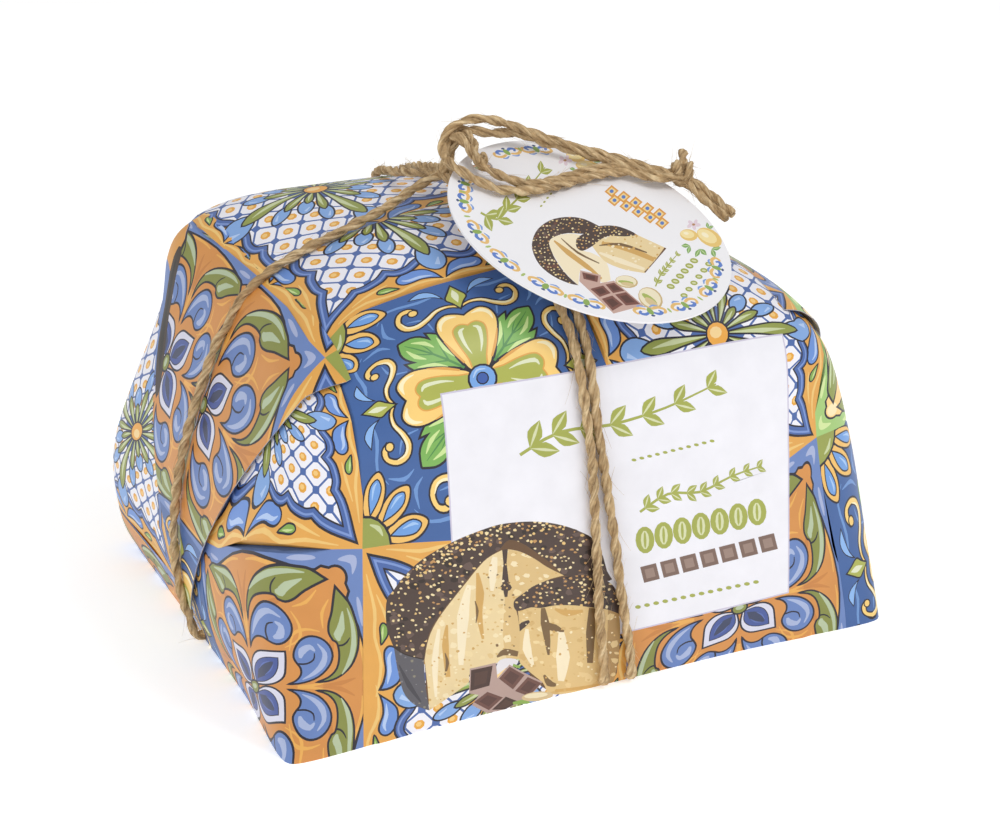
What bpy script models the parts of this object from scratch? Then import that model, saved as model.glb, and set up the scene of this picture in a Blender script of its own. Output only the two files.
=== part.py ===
"""Shut gift pack of a panettone: a printed paper wrap tied with jute twine, and a round hang tag.

The front face looks along -Y, the folded ends along -X and +X. The origin is the middle of the
base. Lengths are written in millimetres and become metres in the meshes.
"""
import math

import bmesh
import bpy
import numpy as np
from mathutils import Vector
from mathutils.bvhtree import BVHTree

MM = 0.001

# The wrap's walls: reach from the middle at each height, as (height, reach)
END_REACH = ((0, 121), (20, 126), (38, 127), (55, 126), (80, 121), (95, 116), (110, 110), (125, 103),
             (140, 96), (160, 88), (175, 80))
FRONT_REACH = ((0, 97), (20, 96.5), (38, 95.5), (55, 94), (80, 91.5), (95, 90), (110, 88.5),
               (125, 86.5), (140, 83.5), (160, 79), (175, 74))
BACK_REACH = ((0, 97), (20, 97.5), (38, 97.5), (55, 97), (80, 96), (95, 95), (110, 94), (125, 92.5),
              (140, 90), (160, 86), (175, 82))
# A large squareness gives square corners, 2 gives an ellipse
SQUARENESS = ((0, 40), (20, 11), (38, 8), (55, 7), (80, 6.5), (95, 6.5), (110, 7), (125, 8), (140, 9),
              (175, 9))

# Where the paper stands out at each corner: angle, and (height, swell)
CORNER_FOLDS = (
    (-141, ((0, 5), (6, 3), (20, 1), (55, 0), (110, 1), (125, 2), (175, 2))),
    (-38, ((0, 6), (6, 6), (20, 4), (55, 3), (110, 4), (125, 5), (175, 5))),
    (38, ((0, 5), (6, 5), (20, 4), (55, 5), (110, 4), (125, 5), (175, 5))),
    (141, ((0, 0), (6, 3), (20, 7), (46, 12), (75, 7), (100, 3), (115, 2), (130, 5), (175, 8))),
)
CORNER_FOLD_WIDTH = 8.0

# The domed top: height in the middle, and how far it falls towards each side
TOP_HEIGHT = 161.0
LEFT_FALL, RIGHT_FALL, END_POWER, END_AT = 20.0, 27.0, 2.2, 90.0
FRONT_FALL, FRONT_POWER, FRONT_AT = 22.0, 2.2, 75.0
BACK_FALL, BACK_POWER, BACK_AT = 14.0, 3.0, 85.0
FALL_BLEND = 1.8
PUFF_HEIGHT, PUFF_AT, PUFF_SPREAD = 7.0, (-88.0, 78.0), 26.0
SHOULDER_ROUNDING, FRONT_EXTRA_ROUNDING = 7.0, 13.0

LONG_SIDE_COLUMNS, END_COLUMNS = 20, 16
WRAP_ROWS = 23
BASE_ROWS = (0.0, 2.5, 6.0)

# The end flap: a triangle folded down over each end, as (distance below its top, half width)
FLAP_TOP, FLAP_TIP = 128.0, 16.0
FLAP_HALF_WIDTH, FLAP_TIP_HALF_WIDTH = 76.0, 3.0
FLAP_RISE, FLAP_SINK = 1.6, 3.0
FLAP_ROWS, FLAP_COLUMNS = 12, 8

# The twine: once round lengthwise, twice round crosswise
TWINE_RADIUS = 1.85
TWINE_GAP = 0.9
TWINE_SPACING, KNOT_SPACING = 8.0, 3.8
CHANNEL_DEPTH, CHANNEL_HALF_WIDTH = 5.0, 2.9
UNDER_LENGTHWISE, UNDER_CROSSWISE = 2.4, 2.65
BASE_TURN = 2.6

# The hang tag: a round card on a hole, leaning on the knot and over the front shoulder
TAG_RADIUS, TAG_THICKNESS = 54.6, 0.8
TAG_CENTRE = Vector((21.7, -43.0, 158.3))
TAG_NORMAL = Vector((0.161, -0.399, 1.0)).normalized()
TAG_HOLE = Vector((-6.2, -8.9, 176.4))
TAG_HOLE_RADIUS = 4.2
TAG_SEGMENTS = 96

# The twine's two ends, from the knot over the tag to the end knot, chosen by hand
OUTER_STRAND = ((75, -18, 165), (65.8, -16.9, 167.6), (58, -13.4, 170.2), (46, -8.9, 174.2),
                (33.3, -5.4, 178.6), (24.8, -3.5, 181.6), (17, -0.6, 184.9), (8.6, 0.4, 188.4),
                (0.9, 0, 191.1), (-6, 0.8, 192), (-12.6, 2, 189.7), (-16.6, 1.5, 186.5),
                (-18.4, -0.5, 183.6), (-20.2, -6, 181.4), (-20.6, -13, 180), (-18.6, -19, 178.2),
                (-15.4, -22.6, 176), (-9.1, -26.8, 173), (-3.6, -27.8, 171.7), (5.5, -27.1, 170.5),
                (16.2, -24.3, 169.9), (29.8, -19.5, 169.6), (42.2, -15.9, 169.3), (53, -15.4, 168.4),
                (62, -19.7, 166), (74, -20, 165.5))
UPPER_STRAND = ((73, -19, 164.8), (65, -19.1, 166.3), (53.6, -14.4, 170), (43.2, -9.6, 173.6),
                (34.5, -5.6, 176.6), (23.9, -1.1, 180.1), (16.5, 1.7, 183), (7.6, 1.1, 185),
                (0.6, -0.4, 186), (-5.1, 1, 187.6), (-9.2, 5, 187.2), (-12.2, 7, 184.6),
                (-13.8, 6, 180), (-15, 4.5, 175.6), (-16.5, 3, 171))
LOWER_STRAND = ((76, -19, 164.6), (68.3, -18.1, 165.6), (59.5, -15.6, 168), (46.6, -13, 170.6),
                (33.8, -15.6, 171.2), (20.9, -20.4, 171.1), (10.8, -23.8, 171.6), (3.9, -24.4, 172.5),
                (-1.1, -22.8, 174.2), (-6, -20.3, 176.4), (-9.6, -16.6, 179), (-9.6, -10.5, 181.4),
                (-7.6, -5, 184), (-8, -0.5, 186.6), (-9.4, 4.2, 185), (-11.4, 5.6, 180.5),
                (-14, 4.5, 176), (-17, 2.5, 171.5))
HUB_STRAND = ((-13.8, 0.5, 186.6), (-12.6, -3.4, 186.6), (-11.4, -7, 184.6), (-10.6, -11, 181.8),
              (-9.2, -15.5, 179.6))
HOLE_STRAND = ((-15.5, 3, 170), (-9.6, -4, 170.6), (-6.6, -8.2, 174.4), (-6.4, -10.4, 178.6),
               (-7.6, -12.5, 181.2))
END_KNOT_START, END_KNOT_END = Vector((70.5, -17.5, 166.6)), Vector((79.5, -18.5, 164.8))
END_KNOT_RADIUS, END_KNOT_TURNS = 3.4, 1.75
STUB = ((75, -19, 164.5), (77.6, -14, 168), (80.2, -8.9, 171.7))
TAIL_OUTER = ((73, -17, 166.5), (77.4, -20.6, 163.4), (80.4, -26, 160.4), (83.2, -32, 157),
              (85.6, -38.6, 153.8))
TAIL_INNER = ((72, -18, 164.6), (75.4, -21.6, 162.3), (77.6, -27, 159), (80.2, -33, 155.6),
              (82.4, -39.2, 152.6))

# Where each round of the twine runs: (angle round the pack, sideways place)
LENGTHWISE_ROUTE = ((-21, 0), (0, 0), (45, 1), (80, 4), (97, 4), (120, 1.5), (160, 0), (201, 0))
CROSS_LEFT_ROUTE = ((-27, 0), (0, -2), (35, -7), (50, -13), (63, -19.5), (76, -20.5), (88, -16.5),
                    (97, -15), (110, -10), (128, -5.4), (150, -4.6), (162, -3.0), (178, -2.5),
                    (195, -1.8), (207, 0))
CROSS_RIGHT_ROUTE = ((-27, 11.2), (0, 8), (35, 1), (62, -5), (76, -9), (88, -13), (97, -12.5),
                     (110, -5), (128, 0.2), (150, -0.6), (162, 1.3), (178, 4.5), (195, 7.8),
                     (207, 11.2))
LOOPS = ((LENGTHWISE_ROUTE, False), (CROSS_LEFT_ROUTE, True), (CROSS_RIGHT_ROUTE, True))
# How far the twine stands off the paper where it rises to the knot, and over how many degrees
KNOT_LIFT, KNOT_LIFT_AT = 8.6, 98.0
LENGTHWISE_LIFT_SPREAD, BACK_LIFT_SPREAD, FRONT_LIFT_SPREAD = 8.5, 13.0, 6.0
LOOP_CENTRE_HEIGHT = 60.0


def flow(knots, at):
    """A smooth curve through the knots that doesn't overshoot them, read at each value of at."""
    xs, ys = np.array(knots, float).T
    step = np.diff(xs)
    slope = np.diff(ys) / step
    product = slope[:-1] * slope[1:]
    total = np.where(np.abs(slope[:-1] + slope[1:]) > 1e-9, slope[:-1] + slope[1:], 1.0)
    tangent = np.concatenate(([slope[0]], np.where(product > 0, 2 * product / total, 0.0), [slope[-1]]))
    at = np.clip(at, xs[0], xs[-1])
    i = np.clip(np.searchsorted(xs, at, side="right") - 1, 0, len(step) - 1)
    t = (at - xs[i]) / step[i]
    return ((2 * t ** 3 - 3 * t ** 2 + 1) * ys[i] + (t ** 3 - 2 * t ** 2 + t) * step[i] * tangent[i]
            + (3 * t ** 2 - 2 * t ** 3) * ys[i + 1] + (t ** 3 - t ** 2) * step[i] * tangent[i + 1])


def wall_reach(angle, height):
    """Distance of the wrap's wall from the middle axis at an angle in radians."""
    across, along = math.cos(angle), math.sin(angle)
    side = flow(FRONT_REACH if along < 0 else BACK_REACH, height)
    power = flow(SQUARENESS, height)
    reach = (abs(across / flow(END_REACH, height)) ** power + abs(along / side) ** power) ** (-1 / power)
    for corner, swell in CORNER_FOLDS:
        away = (math.degrees(angle) - corner + 180) % 360 - 180
        reach = reach + flow(swell, height) * math.exp(-0.5 * (away / CORNER_FOLD_WIDTH) ** 2)
    return reach


def top_height(x, y):
    """Height of the domed top over a point."""
    end_fall = np.where(x < 0, LEFT_FALL, RIGHT_FALL) * np.abs(x / END_AT) ** END_POWER
    front = FRONT_FALL * np.abs(y / FRONT_AT) ** FRONT_POWER
    back = BACK_FALL * np.abs(y / BACK_AT) ** BACK_POWER
    side_fall = np.where(y < 0, front, back)
    off = (x - PUFF_AT[0]) ** 2 + (y - PUFF_AT[1]) ** 2
    puff = PUFF_HEIGHT * np.exp(-off / (2 * PUFF_SPREAD ** 2))
    return TOP_HEIGHT - (end_fall ** FALL_BLEND + side_fall ** FALL_BLEND) ** (1 / FALL_BLEND) + puff


def profile(angle):
    """The line from the base edge up the wall and over the top to the middle, as length, reach and height."""
    heights = np.linspace(0, 172, 240)
    reach = wall_reach(angle, heights)
    over = top_height(reach * math.cos(angle), reach * math.sin(angle))
    meet = int(np.argmax(heights >= over))
    inward = np.linspace(reach[meet], 0, 160)
    reach = np.concatenate((reach[:meet], inward))
    height = np.concatenate((heights[:meet], top_height(inward * math.cos(angle), inward * math.sin(angle))))
    length = np.concatenate(([0], np.cumsum(np.hypot(np.diff(reach), np.diff(height)))))
    even = np.linspace(0, length[-1], 400)
    reach, height = np.interp(even, length, reach), np.interp(even, length, height)
    facing = max(-math.sin(angle), 0.0) ** 2
    spread = (SHOULDER_ROUNDING + FRONT_EXTRA_ROUNDING * facing) / (even[1] - even[0])
    half = int(3 * spread)
    weight = np.exp(-0.5 * (np.arange(-half, half + 1) / spread) ** 2)
    weight /= weight.sum()
    before = slice(half, 0, -1)
    after = slice(-2, -half - 2, -1)
    reach_long = np.concatenate((2 * reach[0] - reach[before], reach, -reach[after]))
    height_long = np.concatenate((2 * height[0] - height[before], height, height[after]))
    return even, np.convolve(reach_long, weight, "valid"), np.convolve(height_long, weight, "valid")


def column_angles():
    """Angles of the wrap's columns, closer together towards the four corners."""
    corner = math.atan2(FRONT_REACH[0][1], END_REACH[0][1])
    marks = (-math.pi + corner, -corner, corner, math.pi - corner, math.pi + corner)
    angles = []
    for index in range(4):
        count = LONG_SIDE_COLUMNS if index % 2 == 0 else END_COLUMNS
        for k in range(count):
            t = k / count
            t -= 0.65 * math.sin(2 * math.pi * t) / (2 * math.pi)
            angles.append(marks[index] + t * (marks[index + 1] - marks[index]))
    return angles


def wrap_mesh():
    """The wrap as a loft of unlike sections: rectangular base, rounded walls, domed top."""
    bm = bmesh.new()
    columns = []
    for angle in column_angles():
        length, reach, height = profile(angle)
        rows = list(BASE_ROWS)
        for k in range(1, WRAP_ROWS):
            rows.append(BASE_ROWS[-1] + (length[-1] - BASE_ROWS[-1]) * k / WRAP_ROWS)
        column = []
        for row in rows:
            r, z = np.interp(row, length, reach), max(np.interp(row, length, height), 0.0)
            column.append(bm.verts.new((r * math.cos(angle) * MM, r * math.sin(angle) * MM, z * MM)))
        columns.append(column)
    crown = bm.verts.new((0, 0, float(np.interp(length[-1], length, height)) * MM))
    for left, right in zip(columns, columns[1:] + columns[:1]):
        for k in range(len(left) - 1):
            bm.faces.new((left[k], right[k], right[k + 1], left[k + 1]))
        bm.faces.new((left[-1], right[-1], crown))
    bm.faces.new([column[0] for column in reversed(columns)])
    return finished(bm, "wrap")


def finished(bm, name):
    """A mesh from the bmesh, its faces turned outward."""
    bmesh.ops.recalc_face_normals(bm, faces=bm.faces)
    mesh = bpy.data.meshes.new(name)
    bm.to_mesh(mesh)
    bm.free()
    return mesh


def flap_mesh(skin, side):
    """The folded end flap of one end: a thin triangular slab on the end's own curve."""
    bm = bmesh.new()
    layers = []
    for lift in (FLAP_RISE, -FLAP_SINK):
        layer = []
        for k in range(FLAP_ROWS + 1):
            down = k / FLAP_ROWS
            height = FLAP_TOP + (FLAP_TIP - FLAP_TOP) * down
            half = FLAP_HALF_WIDTH + (FLAP_TIP_HALF_WIDTH - FLAP_HALF_WIDTH) * down
            line = []
            for j in range(FLAP_COLUMNS + 1):
                y = half * (2 * j / FLAP_COLUMNS - 1)
                start = Vector((side * 300 * MM, y * MM, height * MM))
                point, normal, _, _ = skin.ray_cast(start, Vector((-side, 0, 0)))
                out = lift
                if lift > 0:
                    out = -0.8 if k == 0 else lift * min(1.0, 4 * (1 - down) + 0.2)
                line.append(bm.verts.new(point + normal * out * MM))
            layer.append(line)
        layers.append(layer)
    outer, inner = layers
    for k in range(FLAP_ROWS):
        for j in range(FLAP_COLUMNS):
            bm.faces.new((outer[k][j], outer[k][j + 1], outer[k + 1][j + 1], outer[k + 1][j]))
            bm.faces.new((inner[k][j], inner[k + 1][j], inner[k + 1][j + 1], inner[k][j + 1]))
    rim = [(k, 0) for k in range(FLAP_ROWS)]
    rim += [(FLAP_ROWS, j) for j in range(FLAP_COLUMNS)]
    rim += [(k, FLAP_COLUMNS) for k in range(FLAP_ROWS, 0, -1)]
    rim += [(0, j) for j in range(FLAP_COLUMNS, 0, -1)]
    for (k, j), (k2, j2) in zip(rim, rim[1:] + rim[:1]):
        bm.faces.new((outer[k][j], outer[k2][j2], inner[k2][j2], inner[k][j]))
    return finished(bm, "flap")


def box_mesh(low, high):
    """A box between two corners, for a channel in the base."""
    bm = bmesh.new()
    bmesh.ops.create_cube(bm, size=1.0)
    for vert in bm.verts:
        vert.co = Vector([(low[i] + (vert.co[i] + 0.5) * (high[i] - low[i])) * MM for i in range(3)])
    return finished(bm, "channel")


def add_object(name, mesh, collection, hidden=False):
    thing = bpy.data.objects.new(name, mesh)
    collection.objects.link(thing)
    if hidden:
        thing.hide_render = True
        thing.display_type = "WIRE"
    return thing


def boolean(thing, other, operation):
    modifier = thing.modifiers.new(operation.title(), "BOOLEAN")
    modifier.object = other
    modifier.operation = operation
    modifier.solver = "EXACT"


def smooth_route(points, spacing, closed=False):
    """Points at even spacing along a smooth curve through the route's own points."""
    route = [Vector(point) for point in points]
    count = len(route)
    if closed:
        route = [route[-1]] + route + route[:2]
    else:
        route = [2 * route[0] - route[1]] + route + [2 * route[-1] - route[-2]]
    fine = []
    for k in range(1, count + 1 if closed else count):
        a, b, c, d = route[k - 1:k + 3]
        for step in range(16):
            t = step / 16
            fine.append(0.5 * (2 * b + (c - a) * t + (2 * a - 5 * b + 4 * c - d) * t ** 2
                               + (3 * b - a - 3 * c + d) * t ** 3))
    fine.append(fine[0].copy() if closed else route[-2].copy())
    length = [0.0]
    for before, after in zip(fine, fine[1:]):
        length.append(length[-1] + (after - before).length)
    pieces = max(3, round(length[-1] / spacing))
    even = np.linspace(0, length[-1], pieces + 1)
    axes = [np.interp(even, length, [point[i] for point in fine]) for i in range(3)]
    spaced = [Vector(values) for values in zip(*axes)]
    return spaced[:-1] if closed else spaced


def strand_mesh(points, closed, radius=TWINE_RADIUS):
    """A round strand along the points, as one closed mesh."""
    curve = bpy.data.curves.new("strand", "CURVE")
    curve.dimensions = "3D"
    curve.bevel_depth = radius * MM
    curve.bevel_resolution = 2
    curve.use_fill_caps = True
    spline = curve.splines.new("POLY")
    spline.points.add(len(points) - 1)
    for slot, point in zip(spline.points, points):
        slot.co = (*(point * MM), 1.0)
    spline.use_cyclic_u = closed
    holder = bpy.data.objects.new("strand", curve)
    bpy.context.scene.collection.objects.link(holder)
    evaluated = holder.evaluated_get(bpy.context.evaluated_depsgraph_get())
    mesh = bpy.data.meshes.new_from_object(evaluated)
    bpy.data.objects.remove(holder)
    bm = bmesh.new()
    bm.from_mesh(mesh)
    bmesh.ops.remove_doubles(bm, verts=bm.verts, dist=1e-6)
    bmesh.ops.recalc_face_normals(bm, faces=bm.faces)
    bm.to_mesh(mesh)
    bm.free()
    return mesh


def laid_point(skin, turn, sideways, across):
    """A point of the twine's middle line where it lies on the wrap, in the loop's own plane."""
    way = Vector((math.cos(turn), 0, math.sin(turn)))
    middle = Vector((0, sideways, LOOP_CENTRE_HEIGHT))
    if across:
        way = Vector((0, way.x, way.z))
        middle = Vector((sideways, 0, LOOP_CENTRE_HEIGHT))
    point, normal, _, _ = skin.ray_cast((middle + way * 400) * MM, -way)
    away = math.degrees(turn) - (90.0 if across else KNOT_LIFT_AT)
    spread = LENGTHWISE_LIFT_SPREAD
    if across:
        spread = BACK_LIFT_SPREAD if away < 0 else FRONT_LIFT_SPREAD
    lift = KNOT_LIFT * math.exp(-0.5 * (away / spread) ** 2)
    return point / MM + normal * (TWINE_RADIUS + TWINE_GAP + lift)


def base_turn(reach, under):
    """The twine's bend round the channel's edge, from the wall to underneath, as (reach, height)."""
    turn = []
    for degrees in (0, 45, 90):
        angle = math.radians(degrees)
        turn.append((reach + BASE_TURN * math.cos(angle), CHANNEL_DEPTH - BASE_TURN * math.sin(angle)))
    return turn + [(reach - 9.0, under)]


def loop_points(skin, sideways, across):
    """One round of the twine: up one side, over the top, down the other and under the base."""
    route = []
    for turn in np.linspace(sideways[0][0], sideways[-1][0], 90):
        route.append(laid_point(skin, math.radians(turn), float(flow(sideways, turn)), across))
    route = smooth_route(route, TWINE_SPACING)
    if across:
        reach, under = FRONT_REACH[0][1] + 0.3, UNDER_CROSSWISE
    else:
        reach, under = flow(END_REACH, CHANNEL_DEPTH), UNDER_LENGTHWISE
    bend = base_turn(reach, under)
    for (_, side), sign, way in ((sideways[-1], -1, bend), (sideways[0], 1, bend[::-1])):
        for out, height in way:
            route.append(Vector((side, sign * out, height)) if across else Vector((sign * out, side, height)))
    return route


def end_knot_points():
    """The overhand knot where the twine's ends meet: a helix round the strands."""
    axis = (END_KNOT_END - END_KNOT_START).normalized()
    side = axis.cross(Vector((0, 0, 1))).normalized()
    up = side.cross(axis)
    points = []
    for k in range(15):
        t = k / 14
        turn = 2 * math.pi * END_KNOT_TURNS * t
        middle = END_KNOT_START.lerp(END_KNOT_END, t)
        points.append(middle + END_KNOT_RADIUS * (math.cos(turn) * side + math.sin(turn) * up))
    return points


def tag_object(name, collection, material):
    """The round tag with its string hole."""
    bm = bmesh.new()
    turn = TAG_NORMAL.to_track_quat("Z", "Y").to_matrix().to_4x4()
    turn.translation = TAG_CENTRE * MM
    bmesh.ops.create_cone(bm, cap_ends=True, segments=TAG_SEGMENTS, radius1=TAG_RADIUS * MM,
                          radius2=TAG_RADIUS * MM, depth=TAG_THICKNESS * MM, matrix=turn)
    tag = add_object(name, finished(bm, name), collection)
    punch = bmesh.new()
    turn.translation = TAG_HOLE * MM
    bmesh.ops.create_cone(punch, cap_ends=True, segments=20, radius1=TAG_HOLE_RADIUS * MM,
                          radius2=TAG_HOLE_RADIUS * MM, depth=8 * MM, matrix=turn)
    cutter = add_object(name + "_hole_cutter", finished(punch, name), cutters, hidden=True)
    boolean(tag, cutter, "DIFFERENCE")
    tag.data.materials.append(material)
    return tag


def plain_material(name, colour, roughness):
    material = bpy.data.materials.new(name)
    material.use_nodes = True
    shader = material.node_tree.nodes["Principled BSDF"]
    shader.inputs["Base Color"].default_value = (*colour, 1.0)
    shader.inputs["Roughness"].default_value = roughness
    shader.inputs["Metallic"].default_value = 0.0
    return material


for old in list(bpy.data.objects):
    bpy.data.objects.remove(old)
pack = bpy.data.collections.new("wrapped_panettone")
cutters = bpy.data.collections.new("cutters")
bpy.context.scene.collection.children.link(pack)
bpy.context.scene.collection.children.link(cutters)

paper = plain_material("printed_paper", (0.16, 0.27, 0.55), 0.45)
jute = plain_material("jute", (0.56, 0.41, 0.24), 0.9)
card = plain_material("card", (0.9, 0.9, 0.91), 0.5)

# The wrap, with its end flaps raised on it and channels under it for the twine
wrap = add_object("wrap", wrap_mesh(), pack)
wrap.data.materials.append(paper)
bare = bmesh.new()
bare.from_mesh(wrap.data)
bare_skin = BVHTree.FromBMesh(bare)
bare.free()
for end_name, end_side in (("left", -1), ("right", 1)):
    flap = add_object("flap_" + end_name + "_cutter", flap_mesh(bare_skin, end_side), cutters, hidden=True)
    boolean(wrap, flap, "UNION")
for number, (route, across) in enumerate(LOOPS):
    low, high = (-140, -CHANNEL_HALF_WIDTH, -2), (140, CHANNEL_HALF_WIDTH, CHANNEL_DEPTH)
    if across:
        middle = route[-1][1]
        low, high = (middle - CHANNEL_HALF_WIDTH, -120, -2), (middle + CHANNEL_HALF_WIDTH, 120, CHANNEL_DEPTH + 0.01)
    channel = add_object("channel_%d_cutter" % number, box_mesh(low, high), cutters, hidden=True)
    boolean(wrap, channel, "DIFFERENCE")

# The twine: its three rounds of the pack, the strands over the tag, and the end knot
bpy.context.view_layer.update()
graph = bpy.context.evaluated_depsgraph_get()
skin = BVHTree.FromObject(wrap, graph)
strands = []
for route, across in LOOPS:
    strands.append(strand_mesh(loop_points(skin, route, across), True))
for route in (OUTER_STRAND, UPPER_STRAND, LOWER_STRAND, HUB_STRAND, HOLE_STRAND, STUB, TAIL_OUTER, TAIL_INNER):
    strands.append(strand_mesh(smooth_route(route, KNOT_SPACING), False))
strands.append(strand_mesh(smooth_route(end_knot_points(), KNOT_SPACING * 0.6), False))
joined = bpy.data.collections.new("strands_to_join")
cutters.children.link(joined)
for number, mesh in enumerate(strands[1:]):
    add_object("strand_%d_cutter" % number, mesh, joined, hidden=True)
twine = add_object("twine", strands[0], pack)
union = twine.modifiers.new("Union", "BOOLEAN")
union.operand_type = "COLLECTION"
union.collection = joined
union.operation = "UNION"
union.solver = "EXACT"
bpy.context.view_layer.update()
graph = bpy.context.evaluated_depsgraph_get()
whole = bpy.data.meshes.new_from_object(twine.evaluated_get(graph))
twine.modifiers.clear()
twine.data = whole
whole.materials.clear()
whole.materials.append(jute)
for old in list(joined.objects):
    bpy.data.objects.remove(old)

tag_object("hang_tag", pack, card)
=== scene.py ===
"""Looks of a shut panettone pack: tile-patterned paper, jute twine and a round hang tag.

The frame is the one of the solids: the front face looks along -Y and the middle of the base is the
origin. Lengths in here are millimetres until a mesh is made. Places on the flat paper are counted
in repeats of its print, which is a grid of square tiles.
"""
import functools
import math
import random

import bpy
import numpy as np
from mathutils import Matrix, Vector
from mathutils.bvhtree import BVHTree
from mathutils.geometry import delaunay_2d_cdt


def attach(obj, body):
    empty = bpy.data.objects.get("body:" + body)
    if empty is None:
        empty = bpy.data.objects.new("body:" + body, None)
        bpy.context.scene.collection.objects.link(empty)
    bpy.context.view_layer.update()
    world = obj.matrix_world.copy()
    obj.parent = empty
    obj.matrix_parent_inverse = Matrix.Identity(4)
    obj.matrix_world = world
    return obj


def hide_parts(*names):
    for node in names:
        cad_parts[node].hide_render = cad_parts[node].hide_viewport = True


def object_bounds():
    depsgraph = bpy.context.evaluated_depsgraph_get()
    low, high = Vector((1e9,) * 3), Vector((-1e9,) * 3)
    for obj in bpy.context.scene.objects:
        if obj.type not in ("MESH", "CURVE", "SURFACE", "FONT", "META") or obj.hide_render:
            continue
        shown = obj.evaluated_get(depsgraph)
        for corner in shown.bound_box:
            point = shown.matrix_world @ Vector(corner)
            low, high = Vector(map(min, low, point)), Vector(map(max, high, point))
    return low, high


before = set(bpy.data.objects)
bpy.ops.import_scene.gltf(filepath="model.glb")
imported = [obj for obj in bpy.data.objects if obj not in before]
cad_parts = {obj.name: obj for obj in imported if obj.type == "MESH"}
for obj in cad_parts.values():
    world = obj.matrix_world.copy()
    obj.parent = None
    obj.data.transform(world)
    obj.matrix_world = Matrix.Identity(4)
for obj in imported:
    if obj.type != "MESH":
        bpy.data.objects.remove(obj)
solid_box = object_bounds()
scene = bpy.context.scene
MM = 0.001
REPEAT = 100.0

# ---------------------------------------------------------------- the pack's shape, as in the solids

END_REACH = ((0, 121), (20, 126), (38, 127), (55, 126), (80, 121), (95, 116), (110, 110), (125, 103),
             (140, 96), (160, 88), (175, 80))
FRONT_REACH = ((0, 97), (20, 96.5), (38, 95.5), (55, 94), (80, 91.5), (95, 90), (110, 88.5),
               (125, 86.5), (140, 83.5), (160, 79), (175, 74))
BACK_REACH = ((0, 97), (20, 97.5), (38, 97.5), (55, 97), (80, 96), (95, 95), (110, 94), (125, 92.5),
              (140, 90), (160, 86), (175, 82))
SQUARENESS = ((0, 40), (20, 11), (38, 8), (55, 7), (80, 6.5), (95, 6.5), (110, 7), (125, 8), (140, 9),
              (175, 9))
CORNER_FOLDS = (
    (-141, ((0, 5), (6, 3), (20, 1), (55, 0), (110, 1), (125, 2), (175, 2))),
    (-38, ((0, 6), (6, 6), (20, 4), (55, 3), (110, 4), (125, 5), (175, 5))),
    (38, ((0, 5), (6, 5), (20, 4), (55, 5), (110, 4), (125, 5), (175, 5))),
    (141, ((0, 0), (6, 3), (20, 7), (46, 12), (75, 7), (100, 3), (115, 2), (130, 5), (175, 8))),
)
CORNER_FOLD_WIDTH = 8.0
TOP_HEIGHT = 161.0
LEFT_FALL, RIGHT_FALL, END_POWER, END_AT = 20.0, 27.0, 2.2, 90.0
FRONT_FALL, FRONT_POWER, FRONT_AT = 22.0, 2.2, 75.0
BACK_FALL, BACK_POWER, BACK_AT = 14.0, 3.0, 85.0
FALL_BLEND = 1.8
PUFF_HEIGHT, PUFF_AT, PUFF_SPREAD = 7.0, (-88.0, 78.0), 26.0
SHOULDER_ROUNDING, FRONT_EXTRA_ROUNDING = 7.0, 13.0
WALL_TOP, WALL_STEPS, OVER_STEPS, EVEN_STEPS = 172, 240, 160, 400
BELOW_FLOOR = -1.0


def spline(a, b, c, d, t):
    """The point at a share t of the way from b to c, on a smooth curve through all four."""
    return 0.5 * (2 * b + (c - a) * t + (2 * a - 5 * b + 4 * c - d) * t * t
                  + (3 * b - a - 3 * c + d) * t ** 3)


def flow(knots, at):
    """A smooth curve through the knots that doesn't overshoot them, read at each value of at."""
    xs, ys = np.array(knots, float).T
    step = np.diff(xs)
    slope = np.diff(ys) / step
    product = slope[:-1] * slope[1:]
    total = np.where(np.abs(slope[:-1] + slope[1:]) > 1e-9, slope[:-1] + slope[1:], 1.0)
    tangent = np.concatenate(([slope[0]], np.where(product > 0, 2 * product / total, 0.0), [slope[-1]]))
    at = np.clip(at, xs[0], xs[-1])
    i = np.clip(np.searchsorted(xs, at, side="right") - 1, 0, len(step) - 1)
    t = (at - xs[i]) / step[i]
    return ((2 * t ** 3 - 3 * t ** 2 + 1) * ys[i] + (t ** 3 - 2 * t ** 2 + t) * step[i] * tangent[i]
            + (3 * t ** 2 - 2 * t ** 3) * ys[i + 1] + (t ** 3 - t ** 2) * step[i] * tangent[i + 1])


def wall_reach(angle, height):
    """Distance of the pack's wall from the middle axis at an angle in radians."""
    across, along = math.cos(angle), math.sin(angle)
    side = flow(FRONT_REACH if along < 0 else BACK_REACH, height)
    power = flow(SQUARENESS, height)
    reach = (abs(across / flow(END_REACH, height)) ** power + abs(along / side) ** power) ** (-1 / power)
    for corner, swell in CORNER_FOLDS:
        away = (math.degrees(angle) - corner + 180) % 360 - 180
        reach = reach + flow(swell, height) * math.exp(-0.5 * (away / CORNER_FOLD_WIDTH) ** 2)
    return reach


def top_height(x, y):
    """Height of the domed top over a point."""
    end_fall = np.where(x < 0, LEFT_FALL, RIGHT_FALL) * np.abs(x / END_AT) ** END_POWER
    front = FRONT_FALL * np.abs(y / FRONT_AT) ** FRONT_POWER
    back = BACK_FALL * np.abs(y / BACK_AT) ** BACK_POWER
    side_fall = np.where(y < 0, front, back)
    off = (x - PUFF_AT[0]) ** 2 + (y - PUFF_AT[1]) ** 2
    puff = PUFF_HEIGHT * np.exp(-off / (2 * PUFF_SPREAD ** 2))
    return TOP_HEIGHT - (end_fall ** FALL_BLEND + side_fall ** FALL_BLEND) ** (1 / FALL_BLEND) + puff


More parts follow.
